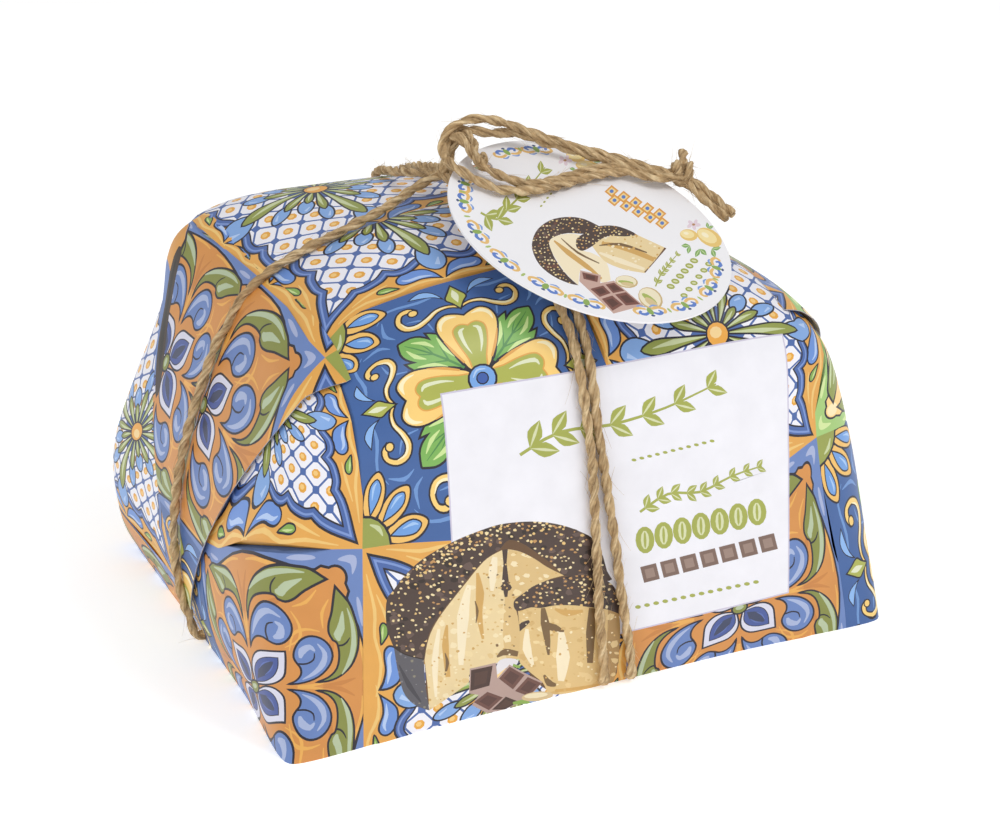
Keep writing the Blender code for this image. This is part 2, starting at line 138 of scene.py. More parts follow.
def run_along(*columns):
    """The length of a line up to each of its points, from the columns of their places."""
    steps = [np.diff(column, axis=0) for column in columns]
    return np.concatenate((np.zeros((1,) + columns[0].shape[1:]), np.cumsum(np.hypot(*steps), axis=0)))


def profile(angle):
    """The line from the base edge up the wall and over the top to the middle: length, reach, height."""
    heights = np.linspace(0, WALL_TOP, WALL_STEPS)
    reach = wall_reach(angle, heights)
    over = top_height(reach * math.cos(angle), reach * math.sin(angle))
    meet = int(np.argmax(heights >= over))
    inward = np.linspace(reach[meet], 0, OVER_STEPS)
    reach = np.concatenate((reach[:meet], inward))
    height = np.concatenate((heights[:meet],
                             top_height(inward * math.cos(angle), inward * math.sin(angle))))
    length = run_along(reach, height)
    even = np.linspace(0, length[-1], EVEN_STEPS)
    reach, height = np.interp(even, length, reach), np.interp(even, length, height)
    facing = max(-math.sin(angle), 0.0) ** 2
    spread = (SHOULDER_ROUNDING + FRONT_EXTRA_ROUNDING * facing) / (even[1] - even[0])
    half = int(3 * spread)
    weight = np.exp(-0.5 * (np.arange(-half, half + 1) / spread) ** 2)
    weight /= weight.sum()
    before = slice(half, 0, -1)
    after = slice(-2, -half - 2, -1)
    reach_long = np.concatenate((2 * reach[0] - reach[before], reach, -reach[after]))
    height_long = np.concatenate((2 * height[0] - height[before], height, height[after]))
    return even, np.convolve(reach_long, weight, "valid"), np.convolve(height_long, weight, "valid")


def bare_skin(columns=540, rows=150):
    """The pack's whole surface without its folds, to lay paper and twine on."""
    points = []
    for angle in np.linspace(-math.pi, math.pi, columns, endpoint=False):
        length, reach, height = profile(angle)
        at = np.linspace(0, length[-1], rows)
        r, z = np.interp(at, length, reach), np.maximum(np.interp(at, length, height), 0.0)
        z[0] = BELOW_FLOOR
        points.append(np.stack((r * math.cos(angle), r * math.sin(angle), z), 1))
    flat = np.concatenate(points)
    quads = []
    for k in range(columns):
        left, right = k * rows, (k + 1) % columns * rows
        for j in range(rows - 1):
            quads.append((left + j, right + j, right + j + 1, left + j + 1))
    return BVHTree.FromPolygons([Vector(p) for p in flat], quads)


skin = bare_skin()


def hit(start, way):
    """Where a line from outside or inside first meets the bare pack."""
    return skin.ray_cast(Vector(start), Vector(way).normalized())[0]


# ---------------------------------------------------------------- flat places on the folded paper

SEAM = 2.0             # where the front and back halves meet
BORDER = 90.0          # where the top and the long sides turn over the ends
RISE_FROM = 92.0       # up to here the rows of points go up by height, above it by slope
WALL_ROWS, DOME_ROWS, COLUMNS = 70, 90, 420
FIRST_LINE = 70.5      # how far up the front the print's first grid line runs
MIDDLE_COLUMN = 0.9    # the print's place at the pack's middle
PUFF_BASE = 150.0      # the puff's rise at this height is taken out of the print's run
LEVEL_TOP, LEVELS = 141.5, 160     # the levels that an end is unrolled by
END_FROM = 45          # the points nearer to the middle than this are on no end


def half_points(front):
    """Points [column, row] of one half of the paper, from its left end over the long side to the right."""
    angles = np.linspace(-math.pi, 0, COLUMNS) if front else np.linspace(math.pi, 0, COLUMNS)
    points = np.zeros((COLUMNS, WALL_ROWS + DOME_ROWS, 3))
    for k, angle in enumerate(angles):
        out = Vector((math.cos(angle), math.sin(angle), 0))
        for j in range(WALL_ROWS):
            height = RISE_FROM * j / WALL_ROWS
            points[k, j] = hit((0, SEAM, height), out)
            points[k, j, 2] = height
        for j in range(DOME_ROWS):
            tilt = math.pi / 2 * j / (DOME_ROWS - 1)
            points[k, WALL_ROWS + j] = hit((0, SEAM, RISE_FROM),
                                           out * math.cos(tilt) + Vector((0, 0, math.sin(tilt))))
    points[0, :, 1] = points[-1, :, 1] = SEAM
    return points


def middle_run(front):
    """How far along the paper a point of the middle section lies, by its rise and reach together."""
    _, reach, height = profile(-math.pi / 2 if front else math.pi / 2)
    run = run_along(reach, height)
    if front:
        return height - reach, (run - FIRST_LINE) / REPEAT
    return reach[::-1] - height[::-1], 1.0 + (run[-1] - run[::-1]) / REPEAT


def end_run(side):
    """How far down an end the paper lies from the border, by reach and fall together."""
    _, reach, height = profile(0.0 if side > 0 else math.pi)
    reach, height = reach[::-1], height[::-1]
    run = run_along(reach, height)
    return reach - height, (run - np.interp(BORDER, reach, run)) / REPEAT


def half_places(front, points):
    """The flat place of each point of a half, before the paper's own pull.

    Up to the border the print runs straight. Beyond it each level of an end is unrolled by its length.
    """
    at, run = middle_run(front)
    x, y = points[..., 0], points[..., 1]
    swell = np.exp(-((x - PUFF_AT[0]) ** 2 + (y - PUFF_AT[1]) ** 2) / (2 * PUFF_SPREAD ** 2))
    z = points[..., 2] * (1 - PUFF_HEIGHT / PUFF_BASE * swell)
    u = MIDDLE_COLUMN + x / REPEAT
    v = np.interp((z + y) if front else (y - z), at, run)
    if front:
        v += np.maximum(z + y - at[-1], 0) / REPEAT
    levels = np.linspace(0, LEVEL_TOP, LEVELS)
    for end in (-1, 1):
        order = list(range(COLUMNS) if end < 0 else range(COLUMNS - 1, -1, -1))
        order = [k for k in order if x[k, 0] * end > END_FROM]
        xs = np.array([np.interp(levels, z[k], x[k]) for k in order])
        ys = np.array([np.interp(levels, z[k], y[k]) for k in order])
        run_across = run_along(xs, ys)
        start, y_start = np.zeros(len(levels)), np.zeros(len(levels))
        for j in range(len(levels)):
            over = np.abs(xs[:, j]) > BORDER
            last = int(np.argmin(over)) if not over.all() else len(order) - 1
            if last == 0:
                y_start[j] = ys[0, j]
                continue
            a, b = abs(xs[last - 1, j]), abs(xs[last, j])
            t = min(max((a - BORDER) / max(a - b, 1e-9), 0.0), 1.0)
            start[j] = run_across[last - 1, j] + t * (run_across[last, j] - run_across[last - 1, j])
            y_start[j] = ys[last - 1, j] + t * (ys[last, j] - ys[last - 1, j])
        place = MIDDLE_COLUMN + end * BORDER / REPEAT
        v_level = np.interp((levels + y_start) if front else (y_start - levels), at, run)
        for row, k in enumerate(order):
            beyond = end * x[k] > BORDER
            away = np.interp(z[k], levels, start - run_across[row])
            u[k] = np.where(beyond, place + end * away / REPEAT, u[k])
            v[k] = np.where(beyond, np.interp(z[k], levels, v_level), v[k])
    return np.stack((u, v), -1)


def pull(pairs, stiffness=2e-4):
    """A smooth map of the flat paper that carries each first place to its second one."""
    here = np.array([pair[0] for pair in pairs], float)
    there = np.array([pair[1] for pair in pairs], float)

    def spread(places):
        gap = ((places[..., None, :] - here) ** 2).sum(-1)
        return 0.5 * gap * np.log(gap + 1e-12)

    count = len(here)
    system = np.zeros((count + 3, count + 3))
    system[:count, :count] = spread(here) + stiffness * np.eye(count)
    system[:count, count], system[:count, count + 1:] = 1, here
    system[count:, :count] = system[:count, count:].T
    weights = np.linalg.solve(system, np.concatenate((there - here, np.zeros((3, 2)))))

    def moved(places):
        plain = np.concatenate((np.ones(places.shape[:-1] + (1,)), places), -1)
        return places + spread(places) @ weights[:count] + plain @ weights[count:]
    return moved


# Pairs of flat places: where the plain unrolling puts a point of the print, and where that point belongs
FRONT_PULL = (
    ((.487, .546), (.5, .5)), ((1.43, .553), (1.5, .5)), ((.469, 1.525), (.5, 1.5)),
    ((1.495, -.525), (1.5, -.5)), ((1.495, -.7), (1.5, -.745)), ((.03, -.525), (.03, -.5)),
    ((.022, .005), (.025, -.025)), ((.3, -.002), (.3, 0)), ((.1, .03), (.1, 0)), ((-.013, .791), (0, 1)),
    ((.057, .851), (.06, 1)), ((.167, .908), (.17, 1)), ((.287, .929), (.29, 1)), ((.517, .961), (.52, 1)),
    ((.677, .975), (.68, 1)), ((.966, .541), (1, .5)), ((.945, .688), (1, .65)), ((1.843, .097), (2, 0)),
    ((1.855, 0), (2, -.08)), ((1.877, -.154), (2, -.2)), ((1.915, -.308), (2, -.33)),
    ((1.946, -.5), (2, -.5)), ((1.97, -.7), (2, -.745)), ((1.845, .238), (2, .15)),
    ((1.89, .338), (2, .28)), ((1.94, .4), (2, .37)), ((1.995, .47), (2, .45)), ((1.68, .026), (1.77, 0)),
    ((1.815, .118), (1.975, .025)), ((1.785, -.045), (1.912, -.088)), ((.007, .5), (0, .5)),
    ((-.286, .041), (-.28, 0)), ((-.4, .019), (-.39, 0)), ((-.543, -.031), (-.52, 0)),
    ((-.686, -.097), (-.66, 0)), ((-.8, -.154), (-.78, 0)), ((-.543, -.543), (-.5, -.5)),
    ((-.107, -.057), (-.088, -.088)), ((-.9, -.236), (-.912, -.088)), ((-.407, .186), (-.5, .1)),
    ((-.007, -.5), (0, -.5)), ((-1.3, -.7), (-1.2, -.6)), ((-1.3, .9), (-1.4, 1)),
    ((.9, 1.49), (.9, 1.46)), ((1.8, 1.45), (1.9, 1.42)), ((3.1, -.7), (3.2, -.7)), ((3.1, .9), (3.2, .9)),
    ((-.05, -.7), (0, -.7)), ((-.306, -.327), (-.332, -.332)), ((-.335, -.575), (-.332, -.66)),
)
BACK_PULL = (
    ((.42, 1.58), (.5, 1.5)), ((-.644, 2.733), (-.5, 2.5)), ((0, 1), (0, 1)), ((1, 1), (1, 1)),
    ((2, 1), (2, 1)), ((0, 3.35), (0, 3.3)), ((2, 3.35), (2, 3.3)), ((-1.3, 3.3), (-1.2, 3.1)),
    ((-1.3, 1), (-1.3, 1)), ((3.1, 1), (3.1, 1)), ((3.1, 3.3), (3.1, 3.3)),
)
FLAP_FRONT_PULL = (
    ((-.51, 1.57), (-.5, 1.5)), ((-.653, 1.387), (-.665, 1.335)), ((-.367, 1.387), (-.335, 1.335)),
    ((-.533, 1.25), (-.5, 1.222)), ((-.147, 1.03), (-.088, 1.088)), ((-.063, .947), (0, 1)),
    ((-.517, .933), (-.5, 1)), ((-.25, .94), (-.22, 1)), ((-1.0, 1.3), (-1, 1.28)),
    ((-.1, .89), (-.03, .965)), ((-.34, .89), (-.29, .952)), ((.03, 1.55), (.04, 1.5)),
    ((-1.2, 1.6), (-1.22, 1.5)), ((0, 1.3), (.01, 1.3)),
)
FLAP_BACK_PULL = (
    ((-.503, 1.5), (-.5, 1.5)), ((-.661, 1.32), (-.665, 1.335)), ((-.345, 1.32), (-.335, 1.335)),
    ((-.5, 1.212), (-.5, 1.222)), ((-1, 1.1), (-1, 1.1)), ((0, 1.1), (0, 1.1)), ((0, 1.8), (0, 1.8)),
    ((-1, 1.8), (-1, 1.8)),
)


def flat_lookup(points, places, normals, depth=0.0):
    """A finder that gives the point and normal in space for a place on the flat paper.

    Where the flat paper covers a place twice, the layer with the smaller depth is meant.
    """
    columns, rows = places.shape[:2]
    depths = np.broadcast_to(depth, (columns, rows)).reshape(-1)
    flat = [Vector((u, v, -d)) for (u, v), d in zip(places.reshape(-1, 2), depths)]
    triangles = []
    for k in range(columns - 1):
        for j in range(rows - 1):
            a = k * rows + j
            triangles.append((a, a + rows, a + rows + 1))
            triangles.append((a, a + rows + 1, a + 1))
    tree = BVHTree.FromPolygons(flat, triangles)
    spots, ways = points.reshape(-1, 3), normals.reshape(-1, 3)

    def find(u, v):
        place = Vector((u, v, 0))
        where, _, face, _ = tree.ray_cast(Vector((u, v, 1)), Vector((0, 0, -1)))
        if face is None:
            where, _, face, _ = tree.find_nearest(place)
        a, b, c = triangles[face]
        ab, ac, ap = flat[b] - flat[a], flat[c] - flat[a], where - flat[a]
        area = ab.x * ac.y - ab.y * ac.x
        if abs(area) < 1e-12:
            return spots[a], ways[a]
        s = (ap.x * ac.y - ap.y * ac.x) / area
        t = (ab.x * ap.y - ab.y * ap.x) / area
        return (spots[a] * (1 - s - t) + spots[b] * s + spots[c] * t,
                ways[a] * (1 - s - t) + ways[b] * s + ways[c] * t)
    return find


def grid_normals(points, outward=1):
    """The outward direction at each point of a grid."""
    across, along = np.gradient(points, axis=0), np.gradient(points, axis=1)
    normals = np.cross(across, along) * outward
    return normals / (np.linalg.norm(normals, axis=-1, keepdims=True) + 1e-9)


# ---------------------------------------------------------------- drawing the print

@functools.lru_cache(maxsize=None)
def tint(code):
    """A linear colour from its six-figure screen code."""
    parts = [int(code[k:k + 2], 16) / 255 for k in (0, 2, 4)]
    return tuple(p / 12.92 if p < 0.04045 else ((p + 0.055) / 1.055) ** 2.4 for p in parts)


NAVY_LINE = "221F2B"
LINE = 0.0085          # the width of the dark lines round the print's shapes
CLOSEST = 8e-4         # points nearer together than this count as one
OUTWARD_MITRE, INWARD_MITRE = 0.35, 0.08
OUTWARD_GAP, INWARD_GAP = 0.5, 0.96


def smooth(points, closed=True, steps=3):
    """A smooth line through the points; a point with a third number is a sharp corner."""
    knots = [np.array(point[:2], float) for point in points]
    sharp = [len(point) > 2 for point in points]
    count = len(knots)
    line = []
    for k in range(count if closed else count - 1):
        b, c = knots[k], knots[(k + 1) % count]
        a = knots[k - 1] if (closed or k > 0) and not sharp[k] else b
        after = (k + 2) % count
        d = knots[after] if (closed or k + 2 < count) and not sharp[(k + 1) % count] else c
        line += [spline(a, b, c, d, step / steps) for step in range(steps)]
    if not closed:
        line.append(knots[-1])
    return np.array(line)


def tidy_loop(loop):
    """The loop without doubled points, running anticlockwise."""
    keep = np.linalg.norm(loop - np.roll(loop, 1, 0), axis=1) > CLOSEST
    loop = loop[keep]
    after = np.roll(loop, -1, 0)
    area = (loop[:, 0] * after[:, 1] - loop[:, 1] * after[:, 0]).sum()
    return loop if area > 0 else loop[::-1]


def grown(loop, by):
    """The loop moved outward by a distance, or inward where it is negative."""
    loop = tidy_loop(loop)
    edge = np.roll(loop, -1, 0) - loop
    edge = edge / (np.linalg.norm(edge, axis=1, keepdims=True) + 1e-12)
    out = np.stack((edge[:, 1], -edge[:, 0]), 1)
    before = np.roll(out, 1, 0)
    share = 1 + (out * before).sum(1)
    least = OUTWARD_MITRE if by > 0 else INWARD_MITRE
    moved = loop + by * (out + before) / np.maximum(share, least)[:, None]
    start, end = loop, np.roll(loop, -1, 0)
    along = end - start
    t = ((moved[:, None] - start) * along).sum(-1) / ((along ** 2).sum(-1) + 1e-12)
    near = start + np.clip(t, 0, 1)[..., None] * along
    gap = np.linalg.norm(moved[:, None] - near, axis=-1).min(1)
    moved = moved[gap > abs(by) * (OUTWARD_GAP if by > 0 else INWARD_GAP)]
    return tidy_loop(moved) if len(moved) > 2 else moved


def brush(points, widths, steps=3):
    """A brush stroke along the points, with its width spread over its length."""
    line = smooth(points, closed=False, steps=steps)
    way = np.gradient(line, axis=0)
    way /= np.linalg.norm(way, axis=1, keepdims=True) + 1e-12
    share = np.linspace(0, 1, len(line))
    half = np.interp(share, np.linspace(0, 1, len(widths)), widths)[:, None] / 2
    side = np.stack((-way[:, 1], way[:, 0]), 1) * half
    return tidy_loop(np.concatenate((line + side, (line - side)[::-1])))


def blob(x, y, rx, ry=None, sides=12, turn=0.0):
    """An oval."""
    ry = rx if ry is None else ry
    a = np.linspace(0, 2 * math.pi, sides, endpoint=False)
    px, py = rx * np.cos(a), ry * np.sin(a)
    c, s = math.cos(math.radians(turn)), math.sin(math.radians(turn))
    return np.stack((x + c * px - s * py, y + s * px + c * py), 1)


def mirrored(points):
    """A half outline from the upright axis to itself again, closed by its mirror image."""
    back = [(-p[0], *p[1:]) for p in reversed(points) if abs(p[0]) > 1e-6]
    return list(points) + back


def folded(points):
    """A half outline from the diagonal to itself again, closed by its mirror image across it."""
    back = [(p[1], p[0], *p[2:]) for p in reversed(points) if abs(p[0] - p[1]) > 1e-6]
    return list(points) + back


def turned(loop, degrees):
    """The loop turned anticlockwise about the middle."""
    c, s = math.cos(math.radians(degrees)), math.sin(math.radians(degrees))
    return np.stack((c * loop[:, 0] - s * loop[:, 1], s * loop[:, 0] + c * loop[:, 1]), 1)


class Drawing:
    """Shapes in painting order, each with its colour and the shape that it may not leave."""

    def __init__(self):
        self.shapes = []

    def paint(self, colour, loop, times=1, line=0.0, inside=None, line_colour=NAVY_LINE):
        """Add a shape, turned and mirrored where it shows 4 or 8 times; gives its first and last number."""
        loop = tidy_loop(np.asarray(loop, float))
        layers = [(colour, loop)]
        if line:
            layers = [(line_colour, grown(loop, line / 2)), (colour, grown(loop, -line / 2))]
        first = len(self.shapes)
        for ink, outline in layers:
            if len(outline) < 3:
                continue
            for mirror in ((1, -1) if times == 8 else (1,)):
                for k in range(4 if times >= 4 else 1):
                    c, s = ((1, 0), (0, 1), (-1, 0), (0, -1))[k]
                    x, y = outline[:, 0] * mirror, outline[:, 1]
                    shape = np.stack((c * x - s * y, s * x + c * y), 1)
                    self.shapes.append((ink, shape[::mirror], inside))
        return first, len(self.shapes) - 1

    def stroke(self, colour, points, widths, times=8, steps=3):
        """A brush stroke with no line round it."""
        self.paint(colour, brush(points, widths, steps), times)


def leaf_and_curl_tile(edge, splash, field, swoosh, shade, leaf, leaf_light, knob=None):
    """Four white petals in a ring of curls and leaves, on a field with a curved frame."""
    art = Drawing()
    art.ground = edge
    paint, stroke = art.paint, art.stroke
    paint(splash, smooth([(.24, .476), (.27, .486), (.33, .484), (.345, .474), (.30, .470)]), 8)
    paint(splash, smooth([(.42, .468), (.45, .482), (.478, .478), (.482, .45), (.468, .42), (.462, .455)]),
          4)
    rim = [(0, .487), (.08, .483), (.16, .474), (.24, .462), (.30, .448), (.345, .442), (.366, .452)]
    arc = [(.412 + .038 * math.cos(math.radians(a)), .412 + .038 * math.sin(math.radians(a)))
           for a in range(120, -31, -15)]
    quarter = np.array(rim + arc + [(y, x) for x, y in reversed(rim[1:])])
    loop = np.concatenate([turned(quarter, -90 * k) for k in range(4)])
    paint(field, loop, 1, LINE)
    stroke(swoosh, [(.03, .468), (.10, .470), (.20, .458), (.29, .436)], (.004, .012, .004))
    stroke(swoosh, [(.0, .21), (.012, .30), (.05, .36)], (.016, .010, .002))
    stroke(swoosh, [(.17, .185), (.235, .215), (.25, .27), (.235, .32)], (.003, .014, .003))
    stroke(swoosh, [(.245, .335), (.30, .345), (.345, .38)], (.003, .012, .003))
    stroke(shade, [(.30, .10), (.345, .16), (.37, .23)], (.004, .030, .004))
    stroke(shade, [(.035, .44), (.012, .38), (.004, .31)], (.004, .020, .006))
    if knob:
        paint(knob, blob(.412, .412, .028), 4)
    body = smooth([(.018, .278, 1), (.038, .33), (.075, .365), (.13, .378), (.18, .376), (.195, .362, 1),
                   (.225, .352), (.262, .36), (.305, .382), (.385, .410, 1), (.33, .445), (.28, .455),
                   (.22, .46), (.15, .45), (.085, .422), (.042, .378), (.022, .33)])
    paint(leaf, body, 8, LINE)
    stroke(leaf_light, [(.190, .385), (.214, .384), (.24, .400), (.30, .418)], (.008, .032, .028, .004))
    stroke(leaf_light, [(.05, .385), (.10, .415), (.17, .437), (.25, .443), (.31, .436)],
           (.003, .018, .020, .013, .003))
    stroke(NAVY_LINE, [(.172, .376), (.172, .395), (.182, .412), (.2, .426)], (.008, .008, .007, .003))
    curl = smooth([(.011, .170, 1), (.020, .234), (.044, .292), (.085, .333), (.13, .352), (.176, .344),
                   (.21, .315), (.222, .274), (.208, .235), (.175, .207), (.14, .198), (.11, .21, 1),
                   (.088, .222), (.058, .222), (.03, .203)])
    blue, pale = "6884BE", "A9B7DA"
    paint(blue, curl, 8, LINE)
    stroke(pale, [(.035, .228), (.060, .272), (.098, .309), (.145, .322), (.188, .300)],
           (.003, .018, .026, .018, .004))
    stroke(pale, [(.135, .224), (.165, .236), (.178, .268), (.158, .285)], (.010, .032, .022, .006))
    stroke(NAVY_LINE, [(.11, .21), (.107, .245), (.122, .275), (.15, .282)], (.008, .008, .007, .004))
    petal = smooth(folded([(.012, .012), (.012, .03), (.004, .08), (.015, .125), (.05, .158), (.105, .165),
                           (.168, .168, 1)]))
    paint("DADAEA", petal, 4, LINE)
    paint("46599A", smooth(folded([(.024, .024, 1), (.02, .075), (.045, .115), (.09, .135),
                                   (.138, .138, 1)])), 4, .004)
    paint("3C4460", smooth(folded([(.034, .034, 1), (.05, .085), (.085, .112), (.118, .118, 1)])), 4)
    stroke("5B70B4", [(.05, .08), (.075, .105), (.105, .118)], (.002, .007, .002))
    paint(leaf, blob(0, 0, .037, .030), 1, LINE)
    paint(leaf_light, blob(0, .004, .020, .012), 1)
    return art


def heart_tile():
    """Heart petals, serrated leaves and scrolls on deep blue, with a quarter flower at each corner."""
    art = Drawing()
    paint, stroke = art.paint, art.stroke
    art.ground = "3F639F"
    deep, bright = "36548E", "6E96D0"
    yellow, cream, amber = "FAD27C", "FFF1C4", "E2A44E"
    olive, olive_light = "AFB455", "E4E8C6"
    green, green_light, green_deep = "7DB458", "CFE79A", "4E8A48"
    paint(deep, blob(0, 0, .30, .30, 24), 1)
    stroke(bright, [(.06, .44), (.14, .43), (.25, .44), (.31, .40)], (.003, .014, .010, .002))
    stroke(bright, [(.13, .27), (.15, .33), (.21, .35)], (.003, .012, .002))
    stroke(bright, [(.27, .30), (.30, .34), (.29, .40)], (.002, .016, .003))
    paint("8DB8EE", smooth([(.045, .405, 1), (.075, .455), (.12, .475), (.17, .455, 1), (.12, .445),
                            (.075, .43)]), 8, .004)
    leaf = folded([(.05, .05, 1), (.075, .1), (.094, .155), (.105, .21), (.125, .248), (.165, .270, 1),
                   (.158, .238, 1), (.185, .262), (.22, .275), (.268, .272, 1), (.27, .27)])
    leaf = smooth(leaf, steps=2)
    paint(green, leaf, 4, LINE)
    stroke(green_light, [(.085, .12), (.112, .17), (.13, .23)], (.004, .022, .003))
    stroke(green_light, [(.15, .19), (.18, .225), (.225, .25)], (.003, .018, .003))
    stroke(green_deep, [(.06, .06), (.12, .12), (.19, .19), (.25, .25)], (.010, .010, .007, .002), 4,
           steps=2)
    stroke(green_deep, [(.11, .11), (.12, .15), (.13, .19)], (.007, .006, .001), steps=2)
    stroke(green_deep, [(.16, .16), (.175, .195), (.195, .225)], (.006, .005, .001), steps=2)
    petal = smooth(mirrored([(0, .300, 1), (.03, .316), (.07, .325), (.105, .305), (.122, .262),
                             (.115, .21), (.09, .14), (.062, .085), (.040, .045), (0, .03)]))
    paint(yellow, petal, 4, LINE)
    stroke(amber, [(.108, .20), (.085, .14), (.055, .08)], (.004, .012, .008))
    stroke(cream, [(.03, .300), (.07, .306), (.098, .285), (.105, .25)], (.002, .018, .016, .003))
    heart = smooth(mirrored([(0, .245, 1), (.018, .255), (.04, .256), (.062, .238), (.066, .205),
                             (.055, .15), (.036, .09), (.028, .045), (0, .04)]))
    paint(olive, heart, 4, .006, line_colour=amber)
    stroke(olive_light, [(.018, .235), (.038, .22), (.034, .16), (.018, .11)], (.004, .018, .012, .002))
    scroll = brush([(.0, .345), (.04, .362), (.09, .358), (.135, .33), (.18, .312), (.222, .325),
                    (.238, .362), (.222, .398), (.19, .405), (.168, .385)],
                   (.012, .016, .020, .024, .026, .026, .024, .022, .026, .03))
    paint(yellow, scroll, 8, .007)
    stroke(cream, [(.05, .364), (.09, .360), (.135, .334), (.18, .318), (.215, .328), (.230, .360)],
           (.002, .008, .010, .010, .009, .002))
    paint(yellow, blob(.175, .385, .019, .017, 10), 8, .006)
    paint(olive, smooth(mirrored([(0, .468, 1), (.022, .435), (.042, .40), (.022, .372), (0, .335, 1)])),
          4, .007)
    paint(olive_light, smooth(mirrored([(0, .445, 1), (.014, .41), (0, .37, 1)])), 4)
    for middle in (15, 45, 75):
        petal = smooth([(.085, -.012), (.12, -.034), (.18, -.040), (.225, -.026), (.25, 0), (.225, .026),
                        (.18, .040), (.12, .034), (.085, .012)])
        drop = smooth([(.10, 0, 1), (.15, -.018), (.195, -.021), (.222, 0), (.195, .021), (.15, .018)])
        for colour, loop, line in (("F2C069", petal, .007), ("6FA0E0", drop, .005)):
            loop = turned(loop, 180 + middle) + np.array([.5, .5])
            paint(colour, loop, 4, line)
        shine = turned(brush([(.15, .005), (.19, .008), (.21, 0)], (.002, .010, .002)), 180 + middle)
        paint("A5C8F2", shine + np.array([.5, .5]), 4)
    paint("98A04C", blob(.5, .5, .098, sides=20), 4, LINE)
    stroke("C9D2A0", [(.43, .47), (.445, .445), (.475, .43)], (.004, .016, .004), 4)
    paint("79A8E5", blob(0, 0, .055, sides=16), 1, LINE)
    paint("3F5FA8", blob(0, 0, .023), 1, .005)
    stroke("B5CFF2", [(-.035, .01), (-.015, .036), (.018, .034)], (.003, .009, .003), 1)
    return art


def lattice_tile():
    """A daisy on a fine net in a scalloped blue band, with drops along the tile's sides."""
    art = Drawing()
    paint, stroke = art.paint, art.stroke
    art.ground = "E5A850"
    gold, band, band_light = "F0C777", "4A68A8", "7C97D2"
    blue, blue_pale = "6C93D8", "B5CCF2"
    green, green_pale = "86AC50", "C8DC96"
    stroke(gold, [(-.02, .488), (.10, .470), (.20, .486), (.30, .474), (.42, .488)],
           (.003, .012, .010, .012, .003))
    stroke(gold, [(.20, .425), (.27, .438), (.35, .462)], (.003, .012, .003))
    big = smooth([(.008, .478, 1), (.04, .464), (.08, .455), (.12, .458), (.15, .455), (.167, .438),
                  (.16, .415), (.13, .40), (.09, .398), (.05, .41), (.025, .44)])
    paint(blue, big, 8, .007)
    stroke(blue_pale, [(.035, .452), (.08, .442), (.125, .442), (.148, .43)], (.002, .014, .012, .003))
    small = smooth([(.172, .466), (.20, .466), (.235, .464), (.25, .452), (.238, .438), (.21, .438),
                    (.19, .45)])
    paint(green, small, 8, .006)
    stroke(green_pale, [(.19, .459), (.215, .457), (.238, .452)], (.001, .008, .002))
    rim = [(.0, .362), (.03, .366), (.056, .376), (.09, .395), (.13, .402), (.16, .395), (.178, .382, 1),
           (.205, .40), (.25, .412), (.28, .415), (.305, .410, 1), (.34, .432), (.39, .452), (.44, .468),
           (.482, .482, 1)]
    quarter = rim + [(p[1], p[0], *p[2:]) for p in reversed(rim[1:-1])]
    knots = []
    for k in range(4):
        c, s = ((1, 0), (0, -1), (-1, 0), (0, 1))[k]
        knots += [(c * p[0] - s * p[1], s * p[0] + c * p[1], *p[2:]) for p in quarter]
    outer = tidy_loop(smooth(knots, steps=2))
    paint(NAVY_LINE, grown(outer, .004))
    paint(band, grown(outer, -.004))
    paint(band_light, grown(outer, -.010))
    paint(band, grown(outer, -.017))
    paint(NAVY_LINE, grown(outer, -.030))
    net, _ = paint("4B69A8", grown(outer, -.036))
    reach, cut = .0565, .0475
    cell = np.array([(reach - cut, cut), (cut, reach - cut)])
    cell = np.concatenate((cell, [(cut, cut - reach), (reach - cut, -cut)]))
    cell = np.concatenate((cell[::-1], -cell[::-1]))
    for i in range(-8, 9):
        for j in range(-8, 9):
            x, y = i / 16, j / 16
            if (i + j) % 2 and max(abs(x), abs(y)) < .5 and abs(x) + abs(y) > .1:
                paint("F2F1F8", cell + (x, y), inside=net)
                paint("E8A73C", blob(x, y, .0205, .0205, 8, 22.5), inside=net)
                paint("F6CB7E", blob(x - .002, y + .002, .0115, .0115, 6), inside=net)
    olive, olive_pale, tip = "929B4A", "C9D2A2", "84ABE2"
    for turn, start, middle, end, wide, tip_wide, tips in (
            (22.5, .03, .19, .285, .019, .027, 8), (45, .03, .13, .215, .017, .030, 4),
            (0, .03, .32, .43, .028, .050, 4)):
        blade = smooth([(0, start), (wide * .6, middle * .5), (wide, middle * .85), (0, middle * 1.06),
                        (-wide, middle * .85), (-wide * .6, middle * .5)])
        belly, neck = middle + (end - middle) * .2, middle + (end - middle) * .75
        cap = smooth([(0, middle * .84), (tip_wide, belly), (tip_wide * .8, neck), (0, end),
                      (-tip_wide * .8, neck), (-tip_wide, belly)])
        paint(tip, turned(cap, -turn), tips, .007)
        shine = brush([(-tip_wide * .5, middle + (end - middle) * .4), (-tip_wide * .1, neck)],
                      (.004, tip_wide * .4), 2)
        paint("B3CDF4", turned(shine, -turn), tips)
        paint(olive, turned(blade, -turn), tips, .007)
        vein = brush([(0, start + .02), (wide * .2, middle * .6), (0, middle * .9)],
                     (.002, wide * .7, .002), 2)
        paint(olive_pale, turned(vein, -turn), tips)
    paint("EDAA48", blob(0, 0, .048, sides=14), 1, .007)
    paint("F8D798", blob(-.006, .008, .026, .022, 10), 1)
    return art


TILES = {
    "A": leaf_and_curl_tile("6C86BE", "A8B3D6", "D6914A", "E9AE56", "C98341", "868C42", "B6C4A2"),
    "B": heart_tile(),
    "C": lattice_tile(),
    "D": leaf_and_curl_tile("A5CC78", "D5E8A0", "FFD58A", "FFE7B4", "F3C273", "8F9A48", "C8D6A4", "FFE9B8"),
}


